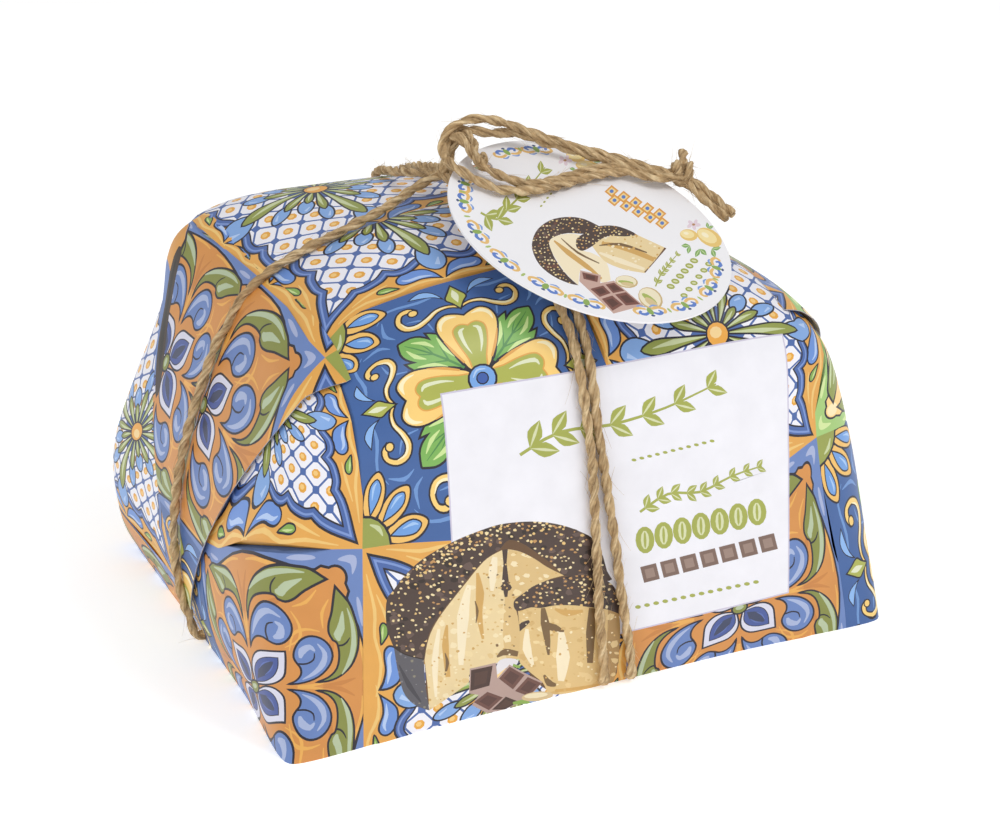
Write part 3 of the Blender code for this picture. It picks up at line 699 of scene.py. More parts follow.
def tile_kind(column, row):
    """Which tile the paper shows in a square of its grid."""
    if column % 2:
        return "A" if row % 2 else "C"
    if row % 2:
        return "C" if column % 4 == 0 else "B"
    return "B" if column % 4 == 0 else "D"


def contains(loop, places):
    """Which places lie within the loop."""
    x, y = places[:, 0, None], places[:, 1, None]
    x0, y0 = loop[:, 0], loop[:, 1]
    x1, y1 = np.roll(x0, -1), np.roll(y0, -1)
    straddles = (y0 > y) != (y1 > y)
    crossing = x0 + (y - y0) * (x1 - x0) / np.where(y1 == y0, 1e-12, y1 - y0)
    return (straddles & (x < crossing)).sum(1) % 2 == 1


HOLE = "hole"           # stands in for the colour of a shape that is cut out
ROW_SPACING = .87       # the height of a row in an even net of triangles, as a share of their sides
SMALL_SHAPE = 0.2       # smaller shapes than this are left out where they lie outside the outline


def printed(outline, overlays=(), hidden=None, grain=0.033, tiles=True, ground=None):
    """Cut the flat paper along every shape of its print; gives its places, triangles and their colours.

    Each triangle takes the colour of the last shape that it lies in, if it also lies in the shape that
    this one may not leave. Shapes of the tiles that lie wholly in the hidden loop are left out.
    """
    outline = np.asarray(outline)
    low, high = outline.min(0), outline.max(0)
    verts, faces, inks, clips = [], [], [], []

    def add(loop, ink, clip):
        first = len(verts)
        verts.extend(Vector((float(x), float(y))) for x, y in loop)
        faces.append(list(range(first, len(verts))))
        inks.append(ink)
        clips.append(clip)
        return len(faces) - 1

    add(tidy_loop(outline), ground, 0)
    if tiles:
        for column in range(math.floor(low[0]), math.ceil(high[0])):
            for row in range(math.floor(low[1]), math.ceil(high[1])):
                art = TILES[tile_kind(column, row)]
                square = np.array([(0, 0), (1, 0), (1, 1), (0, 1)], float) + (column, row)
                cell = add(square, art.ground, 0)
                ids = {}
                for number, (ink, loop, inside) in enumerate(art.shapes):
                    loop = loop + (column + .5, row + .5)
                    if (loop.max(0) < low).any() or (loop.min(0) > high).any():
                        continue
                    if inside is not None and inside not in ids:
                        continue
                    if np.ptp(loop, axis=0).max() < SMALL_SHAPE and not contains(outline, loop).any():
                        continue
                    if hidden is not None and contains(hidden, loop).all():
                        continue
                    ids[number] = add(loop, ink, cell if inside is None else ids[inside])
    held = {}
    for number, (ink, loop, inside) in enumerate(overlays):
        held[number] = add(loop, ink, 0 if inside is None else held[inside])
    rows = int((high[1] - low[1]) / (grain * ROW_SPACING)) + 1
    for row in range(rows):
        y = low[1] + row * grain * ROW_SPACING
        for x in np.arange(low[0] + (row % 2) * grain / 2, high[0], grain):
            verts.append(Vector((float(x), float(y))))
    flat, _, triangles, _, _, sources = delaunay_2d_cdt(verts, [], faces, 0, 1e-6, True)
    kept, colours = [], []
    for triangle, owners in zip(triangles, sources):
        if 0 not in owners:
            continue
        have = set(owners)
        for owner in sorted(owners, reverse=True):
            if clips[owner] in have and inks[owner] is not None:
                if inks[owner] != HOLE:
                    kept.append(triangle)
                    colours.append(inks[owner])
                break
    used = sorted({v for triangle in kept for v in triangle})
    number = {v: k for k, v in enumerate(used)}
    return ([(flat[v].x, flat[v].y) for v in used],
            [tuple(number[v] for v in triangle) for triangle in kept], colours)


def new_object(name, data):
    """A new object in the scene."""
    thing = bpy.data.objects.new(name, data)
    scene.collection.objects.link(thing)
    return thing


def piece_from(name, points, faces, colours, material, replaces, normals=None):
    """One mesh object riding on the pack, with a colour code for each face or a colour for each point."""
    mesh = bpy.data.meshes.new(name)
    mesh.from_pydata([tuple(float(c) * MM for c in p) for p in points], [], faces)
    by_face = len(colours) == len(faces)
    table = np.ones((len(colours), 4), np.float32)
    table[:, :3] = [tint(code) for code in colours] if by_face else colours
    if by_face:
        table = np.repeat(table, [len(face) for face in faces], axis=0)
    ink = mesh.color_attributes.new("ink", "FLOAT_COLOR", "CORNER" if by_face else "POINT")
    ink.data.foreach_set("color", table.ravel())
    mesh.validate(clean_customdata=False)
    mesh.shade_smooth()
    if normals is not None:
        mesh.normals_split_custom_set_from_vertices([tuple(float(c) for c in n) for n in normals])
    mesh.materials.append(material)
    thing = new_object(name, mesh)
    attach(thing, "root")
    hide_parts(replaces)
    return thing


# ---------------------------------------------------------------- camera

CAMERA_PLACE = Vector((-326.1, -686.0, 388.5))
CAMERA_TILT, CAMERA_HEADING = 67.25, -25.8
CAMERA_LENS, CAMERA_SENSOR = 75.0, 36.0
PICTURE_WIDTH, PICTURE_HEIGHT = 1000, 839

camera = bpy.data.cameras.new("camera")
camera.lens, camera.sensor_width = CAMERA_LENS, CAMERA_SENSOR
camera.clip_start, camera.clip_end = 0.01, 20.0
camera_thing = new_object("camera", camera)
camera_thing.location = CAMERA_PLACE * MM
camera_thing.rotation_euler = (math.radians(CAMERA_TILT), 0.0, math.radians(CAMERA_HEADING))
scene.camera = camera_thing
bpy.context.view_layer.update()
CAMERA_TURN = camera_thing.matrix_world.to_3x3()


def look(x, y):
    """The direction from the camera through a place in the picture."""
    across = (x - PICTURE_WIDTH / 2) / PICTURE_WIDTH * CAMERA_SENSOR
    up = -(y - PICTURE_HEIGHT / 2) / PICTURE_WIDTH * CAMERA_SENSOR
    return (CAMERA_TURN @ Vector((across, up, -CAMERA_LENS))).normalized()


# ---------------------------------------------------------------- materials

def shader_material(name):
    """A new material, with its nodes and links."""
    material = bpy.data.materials.new(name)
    material.use_nodes = True
    return material, material.node_tree.nodes, material.node_tree.links


def settings(node, values):
    """Set a node's inputs by their names."""
    for name, value in values.items():
        node.inputs[name].default_value = value


WRINKLE_DEPTH, GRAIN_DEPTH = 0.004, 0.0003


def mottle_and_grain_group():
    """The effect that paper, card and jute share: colour mottled a little, soft wrinkles, fine grain."""
    group = bpy.data.node_groups.new("mottle_and_grain", "ShaderNodeTree")
    for name, way, kind in (
            ("Color", "INPUT", "Color"), ("Place", "INPUT", "Vector"),
            ("Mottle", "INPUT", "Float"), ("Mottle Scale", "INPUT", "Float"),
            ("Wrinkle", "INPUT", "Float"), ("Wrinkle Scale", "INPUT", "Float"),
            ("Grain", "INPUT", "Float"), ("Grain Scale", "INPUT", "Float"),
            ("Color", "OUTPUT", "Color"), ("Normal", "OUTPUT", "Vector")):
        group.interface.new_socket(name, in_out=way, socket_type="NodeSocket" + kind)
    nodes, links = group.nodes, group.links
    given, made = nodes.new("NodeGroupInput"), nodes.new("NodeGroupOutput")

    def noise(scale, detail):
        node = nodes.new("ShaderNodeTexNoise")
        node.inputs["Detail"].default_value = detail
        links.new(given.outputs["Place"], node.inputs["Vector"])
        links.new(given.outputs[scale], node.inputs["Scale"])
        return node.outputs["Fac"]

    spread = nodes.new("ShaderNodeMapRange")
    settings(spread, {"From Min": 0.3, "From Max": 0.7, "To Min": -1.0, "To Max": 1.0})
    links.new(noise("Mottle Scale", 3.0), spread.inputs["Value"])
    lighter = nodes.new("ShaderNodeMath")
    lighter.operation = "MULTIPLY_ADD"
    links.new(spread.outputs["Result"], lighter.inputs[0])
    links.new(given.outputs["Mottle"], lighter.inputs[1])
    lighter.inputs[2].default_value = 1.0
    mottled = nodes.new("ShaderNodeVectorMath")
    mottled.operation = "SCALE"
    links.new(given.outputs["Color"], mottled.inputs[0])
    links.new(lighter.outputs["Value"], mottled.inputs["Scale"])
    links.new(mottled.outputs["Vector"], made.inputs["Color"])
    above = None
    for strength, detail, depth in (("Wrinkle", 2.0, WRINKLE_DEPTH), ("Grain", 3.0, GRAIN_DEPTH)):
        bump = nodes.new("ShaderNodeBump")
        bump.inputs["Distance"].default_value = depth
        links.new(given.outputs[strength], bump.inputs["Strength"])
        links.new(noise(strength + " Scale", detail), bump.inputs["Height"])
        if above:
            links.new(above, bump.inputs["Normal"])
        above = bump.outputs["Normal"]
    links.new(above, made.inputs["Normal"])
    return group


mottle_and_grain = mottle_and_grain_group()


def inked_material(name, rough, effect):
    """A surface coloured by its ink attribute, with its own amounts of mottle, wrinkles and grain."""
    material, nodes, links = shader_material(name)
    shader = nodes["Principled BSDF"]
    shader.inputs["Roughness"].default_value = rough
    ink, place = nodes.new("ShaderNodeAttribute"), nodes.new("ShaderNodeTexCoord")
    ink.attribute_name = "ink"
    surface = nodes.new("ShaderNodeGroup")
    surface.node_tree = mottle_and_grain
    settings(surface, effect)
    links.new(ink.outputs["Color"], surface.inputs["Color"])
    links.new(place.outputs["Object"], surface.inputs["Place"])
    links.new(surface.outputs["Color"], shader.inputs["Base Color"])
    links.new(surface.outputs["Normal"], shader.inputs["Normal"])
    return material


paper = inked_material("printed_paper", 0.42, {
    "Mottle": 0.03, "Mottle Scale": 90.0, "Wrinkle": 0.25, "Wrinkle Scale": 28.0,
    "Grain": 0.12, "Grain Scale": 1400.0})
card = inked_material("card", 0.5, {
    "Mottle": 0.01, "Mottle Scale": 60.0, "Wrinkle": 0.0, "Grain": 0.08, "Grain Scale": 1500.0})
jute = inked_material("jute", 0.9, {
    "Mottle": 0.16, "Mottle Scale": 500.0, "Wrinkle": 0.0, "Grain": 0.9, "Grain Scale": 1600.0})
PLAIN_PAPER = "DAD8E4"

# ---------------------------------------------------------------- the paper wrap


def edge_loops(triangles):
    """The closed lines of edges that only one triangle uses, the longest first."""
    used = set()
    for a, b, c in triangles:
        used.update(((a, b), (b, c), (c, a)))
    after = {}
    for a, b in used:
        if (b, a) not in used:
            after.setdefault(a, []).append(b)
    lines = []
    for start in sorted(after):
        while after[start]:
            line = [start]
            while True:
                follower = after[line[-1]].pop()
                if follower == start:
                    break
                line.append(follower)
            lines.append(line)
    return sorted(lines, key=len, reverse=True)


BASE_INSET, BASE_RISE = 6.0, 5.6
ON_BASE_EDGE, ON_SEAM = 0.002, 0.3
UNDER_FLAP_FROM, UNDER_FLAP_SINK, UNDER_FLAP_BLEND = 88.5, 0.7, 3


class Sheet:
    """A grid of points of the paper, in space and flat."""

    def __init__(self, points, flat):
        self.points, self.flat = points, flat
        columns, rows = flat.shape[:2]
        self.quads = [(k * rows + j, (k + 1) * rows + j, (k + 1) * rows + j + 1, k * rows + j + 1)
                      for k in range(columns - 1) for j in range(rows - 1)]
        self.tree = BVHTree.FromPolygons([Vector(p) for p in points.reshape(-1, 3)], self.quads)

    def place_of(self, point):
        """The flat place of a point in space."""
        _, _, face, _ = self.tree.find_nearest(Vector(point))
        corners = list(self.quads[face])
        spots, flats = self.points.reshape(-1, 3)[corners], self.flat.reshape(-1, 2)[corners]
        across, up = spots[1] - spots[0], spots[3] - spots[0]
        share, *_ = np.linalg.lstsq(np.stack((across, up), 1), np.array(point) - spots[0], rcond=None)
        return flats[0] + share[0] * (flats[1] - flats[0]) + share[1] * (flats[3] - flats[0])


class Half(Sheet):
    """One half of the wrap; it lies a little deeper where an end flap covers it."""

    def __init__(self, front):
        points = half_points(front)
        self.normals = grid_normals(points) * (1 if front else -1)
        flat = pull(FRONT_PULL if front else BACK_PULL)(half_places(front, points))
        flat[:, 0] = 2 * flat[:, 1] - flat[:, 2]  # the lowest row goes on evenly past the base edge
        beyond = np.maximum(np.abs(points[..., 0]) - UNDER_FLAP_FROM, 0)
        sink = UNDER_FLAP_SINK * np.minimum(beyond / UNDER_FLAP_BLEND, 1)
        points = points - self.normals * sink[..., None]
        super().__init__(points, flat)
        self.find = flat_lookup(points, flat, self.normals, beyond / REPEAT)

    def outline(self):
        """The flat outline: up one seam, back down the other one, and along the base edge."""
        flat = self.flat
        return np.concatenate((flat[0, :-1:2], flat[-1, ::-2], flat[::-2, 0]))


front_half, back_half = Half(True), Half(False)


def on_front(points):
    """Flat places of the front sheet at these places in the picture.

    A place below the base lands on the sheet's lower edge.
    """
    places = []
    for x, y in points:
        way = look(x, y)
        spot = front_half.tree.ray_cast(CAMERA_PLACE, way)[0]
        if spot is None:
            spot = CAMERA_PLACE - way * (CAMERA_PLACE.z / way.z)
        places.append(front_half.place_of(spot))
    return places


def along(line, places):
    """How far each place is off the line, and where on it: a point's number plus the share to the next."""
    start, way = line[:-1], np.diff(line, axis=0)
    share = np.clip(((places[:, None] - start) * way).sum(-1) / (way ** 2).sum(-1), 0, 1)
    off = np.linalg.norm(places[:, None] - start - share[..., None] * way, axis=-1)
    nearest = off.argmin(1)
    return off.min(1), nearest + share[np.arange(len(places)), nearest]


def wrap_half(name, half, overlays, hidden=None):
    """One half of the printed wrap as a closed piece, with its recessed base and its side at the seam."""
    outline = half.outline()
    flat, triangles, colours = printed(outline, overlays, hidden, ground=PLAIN_PAPER)
    found = [half.find(u, v) for u, v in flat]
    points = np.array([f[0] for f in found])
    normals = np.array([f[1] for f in found])
    normals /= np.linalg.norm(normals, axis=1, keepdims=True)
    points[:, 2] = np.maximum(points[:, 2], 0)
    rim, *holes = edge_loops(triangles)
    off, spot = along(half.flat[:, 0], np.array(flat)[rim])
    low = off < ON_BASE_EDGE
    corner = next(k for k in range(len(rim)) if low[k] and not low[k - 1])
    rim, low, spot = rim[corner:] + rim[:corner], np.roll(low, -corner), np.roll(spot, -corner)
    count = int(np.flatnonzero(low).max()) + 1
    base, seam = rim[:count], rim[count:]
    for axis in (0, 1):
        points[base, axis] = np.interp(spot[:count], np.arange(len(half.points)), half.points[:, 0, axis])
    points[base, 2] = 0
    points[seam + [base[0], base[-1]], 1] = SEAM
    spots = [tuple(p) for p in points]
    ways = [tuple(n) for n in normals]
    inner = []
    for number in base:
        x, y, _ = spots[number]
        share = 1 - BASE_INSET / math.hypot(x, y)
        inner.append(len(spots))
        spots.append((x * share, y if abs(y - SEAM) < ON_SEAM else y * share, BASE_RISE))
        ways.append((0, 0, -1))
    faces = list(triangles) + [tuple(hole[::-1]) for hole in holes]
    faces += [(b, a, c, d) for a, b, c, d in zip(base, base[1:], inner, inner[1:])]
    faces.append(tuple(inner[::-1]))
    faces.append((inner[0], base[0], *seam[::-1], base[-1], inner[-1]))
    colours = colours + [PLAIN_PAPER] * (len(faces) - len(colours))
    return piece_from(name, spots, faces, colours, paper, "wrap", ways)


LABEL_LEFT, LABEL_RIGHT, LABEL_LOW, LABEL_HIGH = .320, 1.709, -.513, .518
LABEL_RIM = .006


def label_edge(inset, steps=14):
    """The label's outline on the flat front sheet, before the paper's pull."""
    left, right, low, high = LABEL_LEFT + inset, LABEL_RIGHT - inset, LABEL_LOW + inset, LABEL_HIGH - inset
    corners = ((left, low), (right, low), (right, high), (left, high))
    line = []
    for (x0, y0), (x1, y1) in zip(corners, corners[1:] + corners[:1]):
        for k in range(steps):
            line.append((x0 + (x1 - x0) * k / steps, y0 + (y1 - y0) * k / steps))
    return np.array(line)


front_pull = pull(FRONT_PULL)
LABEL = front_pull(label_edge(0))
overlays = [("CFC9DC", LABEL, None), ("F1F0F6", front_pull(label_edge(LABEL_RIM)), None)]

# ---------------------------------------------------------------- pictures on the label and the tag

CAKE_BOARD, TAG_BOARD = (375.0, 505.0, 5.0), (435.0, 105.0, 4.2)
CRUST, CRUST_LIGHT, CRUST_DARK = "4B3A33", "66524A", "33261F"
CRUMB, CRUMB_LIGHT, CRUMB_GOLD, CRUMB_BROWN = "EBD3A0", "F7E8C6", "D3A75E", "7A5F3C"
SEEDS = ("E6C27E", "F4E0AE", "C3935A", "EBD29A")
CHOCOLATE, CHOCOLATE_DARK, CHOCOLATE_EDGE = "6E4A41", "4A332C", "B79C93"
OLIVE_INK, BROWN_INK, PALE_LEAF = "A6AC50", "7D6458", "D9DDB0"
art_rng = random.Random(7)


class Board:
    """A drawing made in the picture's own units, then laid on the label or the tag."""

    def __init__(self, board, lay):
        self.left, self.top, self.scale = board
        self.lay = lay
        self.shapes = []

    def fill(self, colour, points, curved=True, inside=None):
        """A filled shape; a point with a third number is a sharp corner. Returns its number."""
        loop = smooth(points) if curved else np.array([p[:2] for p in points], float)
        laid = self.lay([(self.left + x / self.scale, self.top + y / self.scale) for x, y in loop])
        self.shapes.append((colour, tidy_loop(np.array(laid)), inside))
        return len(self.shapes) - 1

    def stroke(self, colour, points, widths, inside=None):
        """A brush stroke."""
        return self.fill(colour, brush(points, widths), False, inside)

    def strokes(self, inside, rows):
        """Several brush strokes that stay within one shape."""
        for colour, points, widths in rows:
            self.stroke(colour, points, widths, inside)

    def bit(self, colour, raised, corners, share):
        """A four-cornered bit of chocolate with its raised middle."""
        self.fill(colour, corners, False)
        mx, my = np.mean(corners, axis=0)
        self.fill(raised, [(mx + (x - mx) * share, my + (y - my) * share) for x, y in corners], False)

    def oval(self, colour, x, y, rx, ry=None, turn=0.0, sides=8, inside=None):
        """A filled oval."""
        return self.fill(colour, blob(x, y, rx, ry, sides, turn), False, inside)

    def specks(self, colours, loop, number, small, large, inside, gap=7.0):
        """Small uneven grains scattered over a shape, no two too close."""
        loop = np.array([p[:2] for p in loop], float)
        low, high = loop.min(0), loop.max(0)
        placed = []
        for _ in range(number * 12):
            x, y = art_rng.uniform(low[0], high[0]), art_rng.uniform(low[1], high[1])
            if len(placed) >= number:
                break
            crowded = any((x - a) ** 2 + (y - b) ** 2 < gap * gap for a, b in placed)
            if crowded or not contains(loop, np.array([[x, y]]))[0]:
                continue
            placed.append((x, y))
            size, turn = art_rng.uniform(small, large), art_rng.uniform(0, 6)
            flat = art_rng.uniform(.55, .95)
            rim = [(size * art_rng.uniform(.6, 1.25), turn + math.radians(60 * k)) for k in range(6)]
            grain = [(x + r * math.cos(a), y + flat * r * math.sin(a)) for r, a in rim]
            self.fill(art_rng.choice(colours), grain, False, inside)


cake = Board(CAKE_BOARD, on_front)
dome = [(95, 715, 1), (66, 640), (54, 560), (60, 470), (90, 430), (130, 375), (185, 315), (250, 262),
        (330, 215), (420, 170), (520, 130), (620, 98), (720, 85), (800, 83), (880, 90), (960, 108),
        (1030, 135), (1085, 165), (1130, 230), (1160, 330), (1170, 380), (940, 352, 1), (890, 300),
        (830, 255), (760, 205), (700, 178), (660, 180), (620, 225), (560, 265), (500, 325), (450, 385),
        (400, 450), (330, 540), (280, 620), (255, 700), (245, 775, 1), (150, 750)]
face = [(248, 775, 1), (262, 690), (290, 615), (340, 535), (410, 445), (470, 370), (510, 320), (560, 268),
        (630, 228), (668, 222), (730, 235), (800, 270), (860, 310), (945, 352, 1), (850, 380), (760, 440),
        (705, 500), (715, 560), (724, 640), (722, 770, 1), (640, 775), (600, 795), (480, 835), (470, 885),
        (420, 925), (350, 975), (300, 1008), (272, 1026, 1), (262, 900)]
cup = [(95, 715, 1), (150, 750), (245, 775, 1), (252, 900), (272, 1027, 1), (225, 1012), (180, 985),
       (140, 930), (112, 820)]
wedge_crust = [(693, 490), (705, 468), (745, 440), (785, 410), (840, 385), (900, 368), (960, 358),
               (1040, 350), (1100, 355), (1170, 385), (1205, 425), (1222, 480), (1222, 545, 1),
               (1160, 522), (1080, 512), (1000, 502), (900, 502), (830, 515), (780, 512), (720, 530),
               (698, 518)]
wedge_face = [(715, 530, 1), (780, 512), (830, 515), (900, 500), (1000, 500), (1080, 510), (1160, 520),
              (1222, 545, 1), (1226, 640), (1218, 760), (1200, 860), (1180, 905, 1), (1100, 926),
              (1000, 937), (900, 947), (860, 930), (840, 890), (780, 840), (735, 800), (722, 770),
              (724, 640)]
cake.fill("6A4C30", [(150, 745), (245, 765), (272, 1010), (480, 835), (640, 760), (722, 770), (860, 925),
                     (1180, 890), (1218, 540), (1165, 385), (1060, 160), (880, 95), (620, 105), (300, 240),
                     (70, 480), (100, 700)])
cup_shape = cake.fill("5C5A60", cup)
cake.stroke("45434A", [(120, 800), (170, 900), (230, 985)], (6, 26, 8), cup_shape)
cake.specks(("7C7A80", "8A8474"), cup, 16, 5, 9, cup_shape, 24)
dome_shape = cake.fill(CRUST, dome)
cake.specks((CRUST_LIGHT, CRUST_DARK), dome, 70, 14, 30, dome_shape, 22)
cake.stroke(CRUST_DARK, [(95, 712), (150, 748), (245, 772)], (8, 9, 6), dome_shape)
cake.specks(SEEDS, dome, 190, 5, 11, dome_shape, 17)
cake.specks(SEEDS, [(330, 215), (420, 170), (520, 130), (620, 98), (720, 85), (800, 83), (880, 90),
                    (960, 108), (940, 150), (820, 120), (700, 130), (600, 170), (500, 220), (380, 270),
                    (250, 340), (160, 400), (130, 375), (185, 315)],
            90, 5, 11, dome_shape, 13)
face_shape = cake.fill(CRUMB, face)
cake.fill("DDBD82", [(655, 222, 1), (730, 235), (800, 270), (860, 310), (945, 352, 1), (850, 380),
                     (760, 440), (705, 500), (715, 560), (724, 640), (722, 770, 1), (660, 770), (640, 640),
                     (650, 450)], inside=face_shape)
cake.specks(("F4E2B8", "E4C68C", "F0D9A6"), face, 60, 12, 26, face_shape, 26)
cake.strokes(face_shape, (
    (CRUMB_LIGHT, [(320, 620), (300, 780), (305, 960)], (14, 34, 12)),
    (CRUMB_LIGHT, [(470, 400), (440, 560), (430, 800)], (20, 60, 24)),
    (CRUMB_LIGHT, [(600, 260), (590, 330), (585, 430)], (24, 44, 16)),
    (CRUMB_GOLD, [(512, 340), (525, 440), (520, 540), (540, 670)], (12, 42, 34, 12)),
    (CRUMB_GOLD, [(360, 600), (352, 700), (365, 860)], (10, 34, 24)),
    (CRUMB_BROWN, [(500, 480), (512, 530), (505, 590)], (4, 14, 4)),
    (CRUMB_BROWN, [(350, 740), (362, 790), (350, 850)], (4, 18, 6)),
    (CRUMB_BROWN, [(610, 760), (650, 735), (715, 745)], (8, 34, 26)),
    (CRUST, [(650, 205), (650, 290), (652, 380), (655, 460)], (34, 16, 34, 14))))
cake.oval(CRUST, 655, 412, 30, 20, inside=face_shape)
cake.specks(("F5E4BC", "DDBB7C", "CFA55E"), face, 120, 4, 9, face_shape, 15)
cake.specks((CRUMB_BROWN,), [(560, 300), (700, 300), (700, 720), (580, 700)], 14, 4, 9, face_shape, 26)
wedge_shape = cake.fill("E0C084", wedge_face)
cake.fill("B48F58", [(1165, 520, 1), (1222, 545, 1), (1226, 640), (1218, 760), (1200, 860), (1180, 905, 1),
                     (1150, 880), (1160, 700)],
          inside=wedge_shape)
cake.specks(("EFD6A0", "D6B273", "E8CB92"), wedge_face, 45, 12, 26, wedge_shape, 28)
cake.strokes(wedge_shape, (
    (CRUMB_LIGHT, [(930, 620), (940, 760), (930, 880)], (20, 70, 30)),
    (CRUMB_LIGHT, [(760, 620), (760, 720), (790, 800)], (16, 44, 14)),
    (CRUMB_GOLD, [(900, 520), (960, 540), (1040, 530)], (10, 34, 14)),
    (CRUMB_BROWN, [(840, 515), (850, 590), (862, 680), (868, 750)], (20, 44, 30, 10)),
    (CRUMB_BROWN, [(850, 600), (900, 615), (945, 632)], (34, 36, 8)),
    (CRUMB_BROWN, [(1085, 515), (1078, 640), (1075, 790)], (30, 46, 28)),
    (CRUST, [(715, 625), (740, 600), (772, 580)], (22, 30, 12)),
    (CRUMB_BROWN, [(845, 850), (870, 890), (905, 900)], (10, 34, 14)),
    (CRUMB_GOLD, [(900, 930), (1030, 915), (1160, 890)], (14, 16, 12))))
cake.specks(("F5E4BC", "CFA55E", "D8B678"), wedge_face, 90, 4, 9, wedge_shape, 15)
crust_shape = cake.fill(CRUST, wedge_crust)
cake.specks((CRUST_LIGHT, CRUST_DARK), wedge_crust, 22, 12, 22, crust_shape, 24)
cake.specks(SEEDS, wedge_crust, 80, 5, 11, crust_shape, 15)
cake.fill("E6E2E6", [(604, 850), (615, 785), (660, 766), (715, 776), (700, 805), (655, 815)])
cake.stroke("8DAF52", [(690, 800), (725, 812)], (14, 12))
cake.stroke("8DAF52", [(440, 915), (470, 905)], (6, 12))
cake.fill(CHOCOLATE_EDGE, [(470, 942, 1), (474, 818, 1), (604, 788, 1), (612, 866, 1), (672, 798, 1),
                           (838, 884, 1), (800, 930, 1), (762, 962, 1), (700, 1002, 1), (640, 1030, 1),
                           (560, 1040, 1), (484, 1000, 1), (520, 950, 1)], False)
for square, colour in (([(480, 826), (588, 803), (572, 903), (476, 930)], CHOCOLATE_DARK),
                       ([(620, 868), (673, 808), (748, 850), (690, 922)], CHOCOLATE),
                       ([(700, 930), (764, 860), (832, 890), (770, 956)], CHOCOLATE),
                       ([(494, 986), (562, 934), (640, 962), (570, 1026)], CHOCOLATE),
                       ([(584, 1024), (654, 958), (722, 984), (650, 1024)], CHOCOLATE_DARK)):
    cake.bit(colour, "5A3B34" if colour == CHOCOLATE else "553B32", square, .62)
cake.stroke("8DAF52", [(690, 992), (735, 985), (775, 988)], (12, 22, 8))
cake.oval("D8BE90", 812, 957, 80, 24, -6, 14)
cake.oval("F0E2BE", 805, 952, 60, 13, -6, 12)

overlays += [(ink, loop, None if inside is None else inside + len(overlays))
             for ink, loop, inside in cake.shapes]

LEAF_ANGLE = 38
words = Board((0.0, 0.0, 1.0), on_front)


def leaf_pair(board, x, y, turn, size, colour, pale):
    """Two small leaves with a pale vein, either side of a stem."""
    for side in (-1, 1):
        way = math.radians(turn + side * LEAF_ANGLE)
        c, s = math.cos(way), math.sin(way)
        for ink, wide in ((colour, .26), (pale, .05)):
            loop = ((0, 0, 1), (.5 * size, wide * size), (size, 0, 1), (.5 * size, -wide * size))
            board.fill(ink, [(x + c * a - s * b, y + s * a + c * b, *sharp) for a, b, *sharp in loop])


def sprig(board, points, size, count, colour, pale, stem):
    """A leafy twig along a line."""
    board.stroke(colour, points, (stem, stem, stem * .5))
    line = smooth(points, closed=False, steps=12)
    last = len(line) - 1
    for k in range(count):
        number = int((k + .6) / count * last)
        x, y = line[number]
        ahead = line[min(number + 2, last)] - line[number]
        turn = math.degrees(math.atan2(ahead[1], ahead[0]))
        leaf_pair(board, x, y, turn, size * (1 - .35 * k / count), colour, pale)


def row_of(board, start, end, count, shapes):
    """The same small figure repeated along a line."""
    turn = math.degrees(math.atan2(end[1] - start[1], end[0] - start[0]))
    for k in range(count):
        share = k / (count - 1)
        x, y = start[0] + (end[0] - start[0]) * share, start[1] + (end[1] - start[1]) * share
        for ink, rx, ry, tilt, sides in shapes:
            board.oval(ink, x, y, rx, ry, turn + tilt, sides)


sprig(words, [(520, 455), (560, 432), (610, 425), (665, 408), (716, 384)], 30, 7, OLIVE_INK, PALE_LEAF, 3.2)
row_of(words, (634, 460), (712, 441), 11, [(OLIVE_INK, 2.6, 1.5, 20, 8)])
sprig(words, [(640, 512), (668, 494), (700, 492), (732, 476), (762, 466)], 15, 9, OLIVE_INK, PALE_LEAF, 2.6)
row_of(words, (645, 540), (757, 512), 7,
       [(OLIVE_INK, 9.5, 13.5, 12, 14), (PALE_LEAF, 4.2, 9.5, 12, 10), (OLIVE_INK, 1.4, 8.5, 12, 8)])
row_of(words, (650, 573), (768, 543), 7, [(BROWN_INK, 11.5, 11.5, 45, 4), ("9B8377", 6.5, 6.5, 45, 4)])
row_of(words, (638, 607), (756, 582), 14, [(OLIVE_INK, 3.0, 1.9, 10, 8)])
overlays += [(ink, loop, None) for ink, loop, inside in words.shapes]

wrap_half("wrap_front", front_half, overlays, LABEL)
wrap_half("wrap_back", back_half, [])

# ---------------------------------------------------------------- the folded end flaps

FLAP_TOP, FLAP_TIP = 128.0, 16.0
FLAP_HALF_WIDTH, FLAP_TIP_HALF_WIDTH = 76.0, 3.0
FLAP_START, FLAP_PIVOT_X, FLAP_PIVOT_Z = 87.0, 40.0, 70.0
FLAP_LIFT, FLAP_THICK = 1.3, 0.55
FLAP_CLEARANCE, BACK_LAYER_LOWER = 0.08, 0.1
LIFT_BEFORE, LIFT_RUN = 3, 16       # the flap starts to lift this far above its crease, over this length
FRONT_LAYER_ROW, BACK_LAYER_ROW = 1.59, 1.06
RIGHT_CREASE_COLUMN, RIGHT_SHIFT = 1.8, .1
HIGH_ABOVE = 300
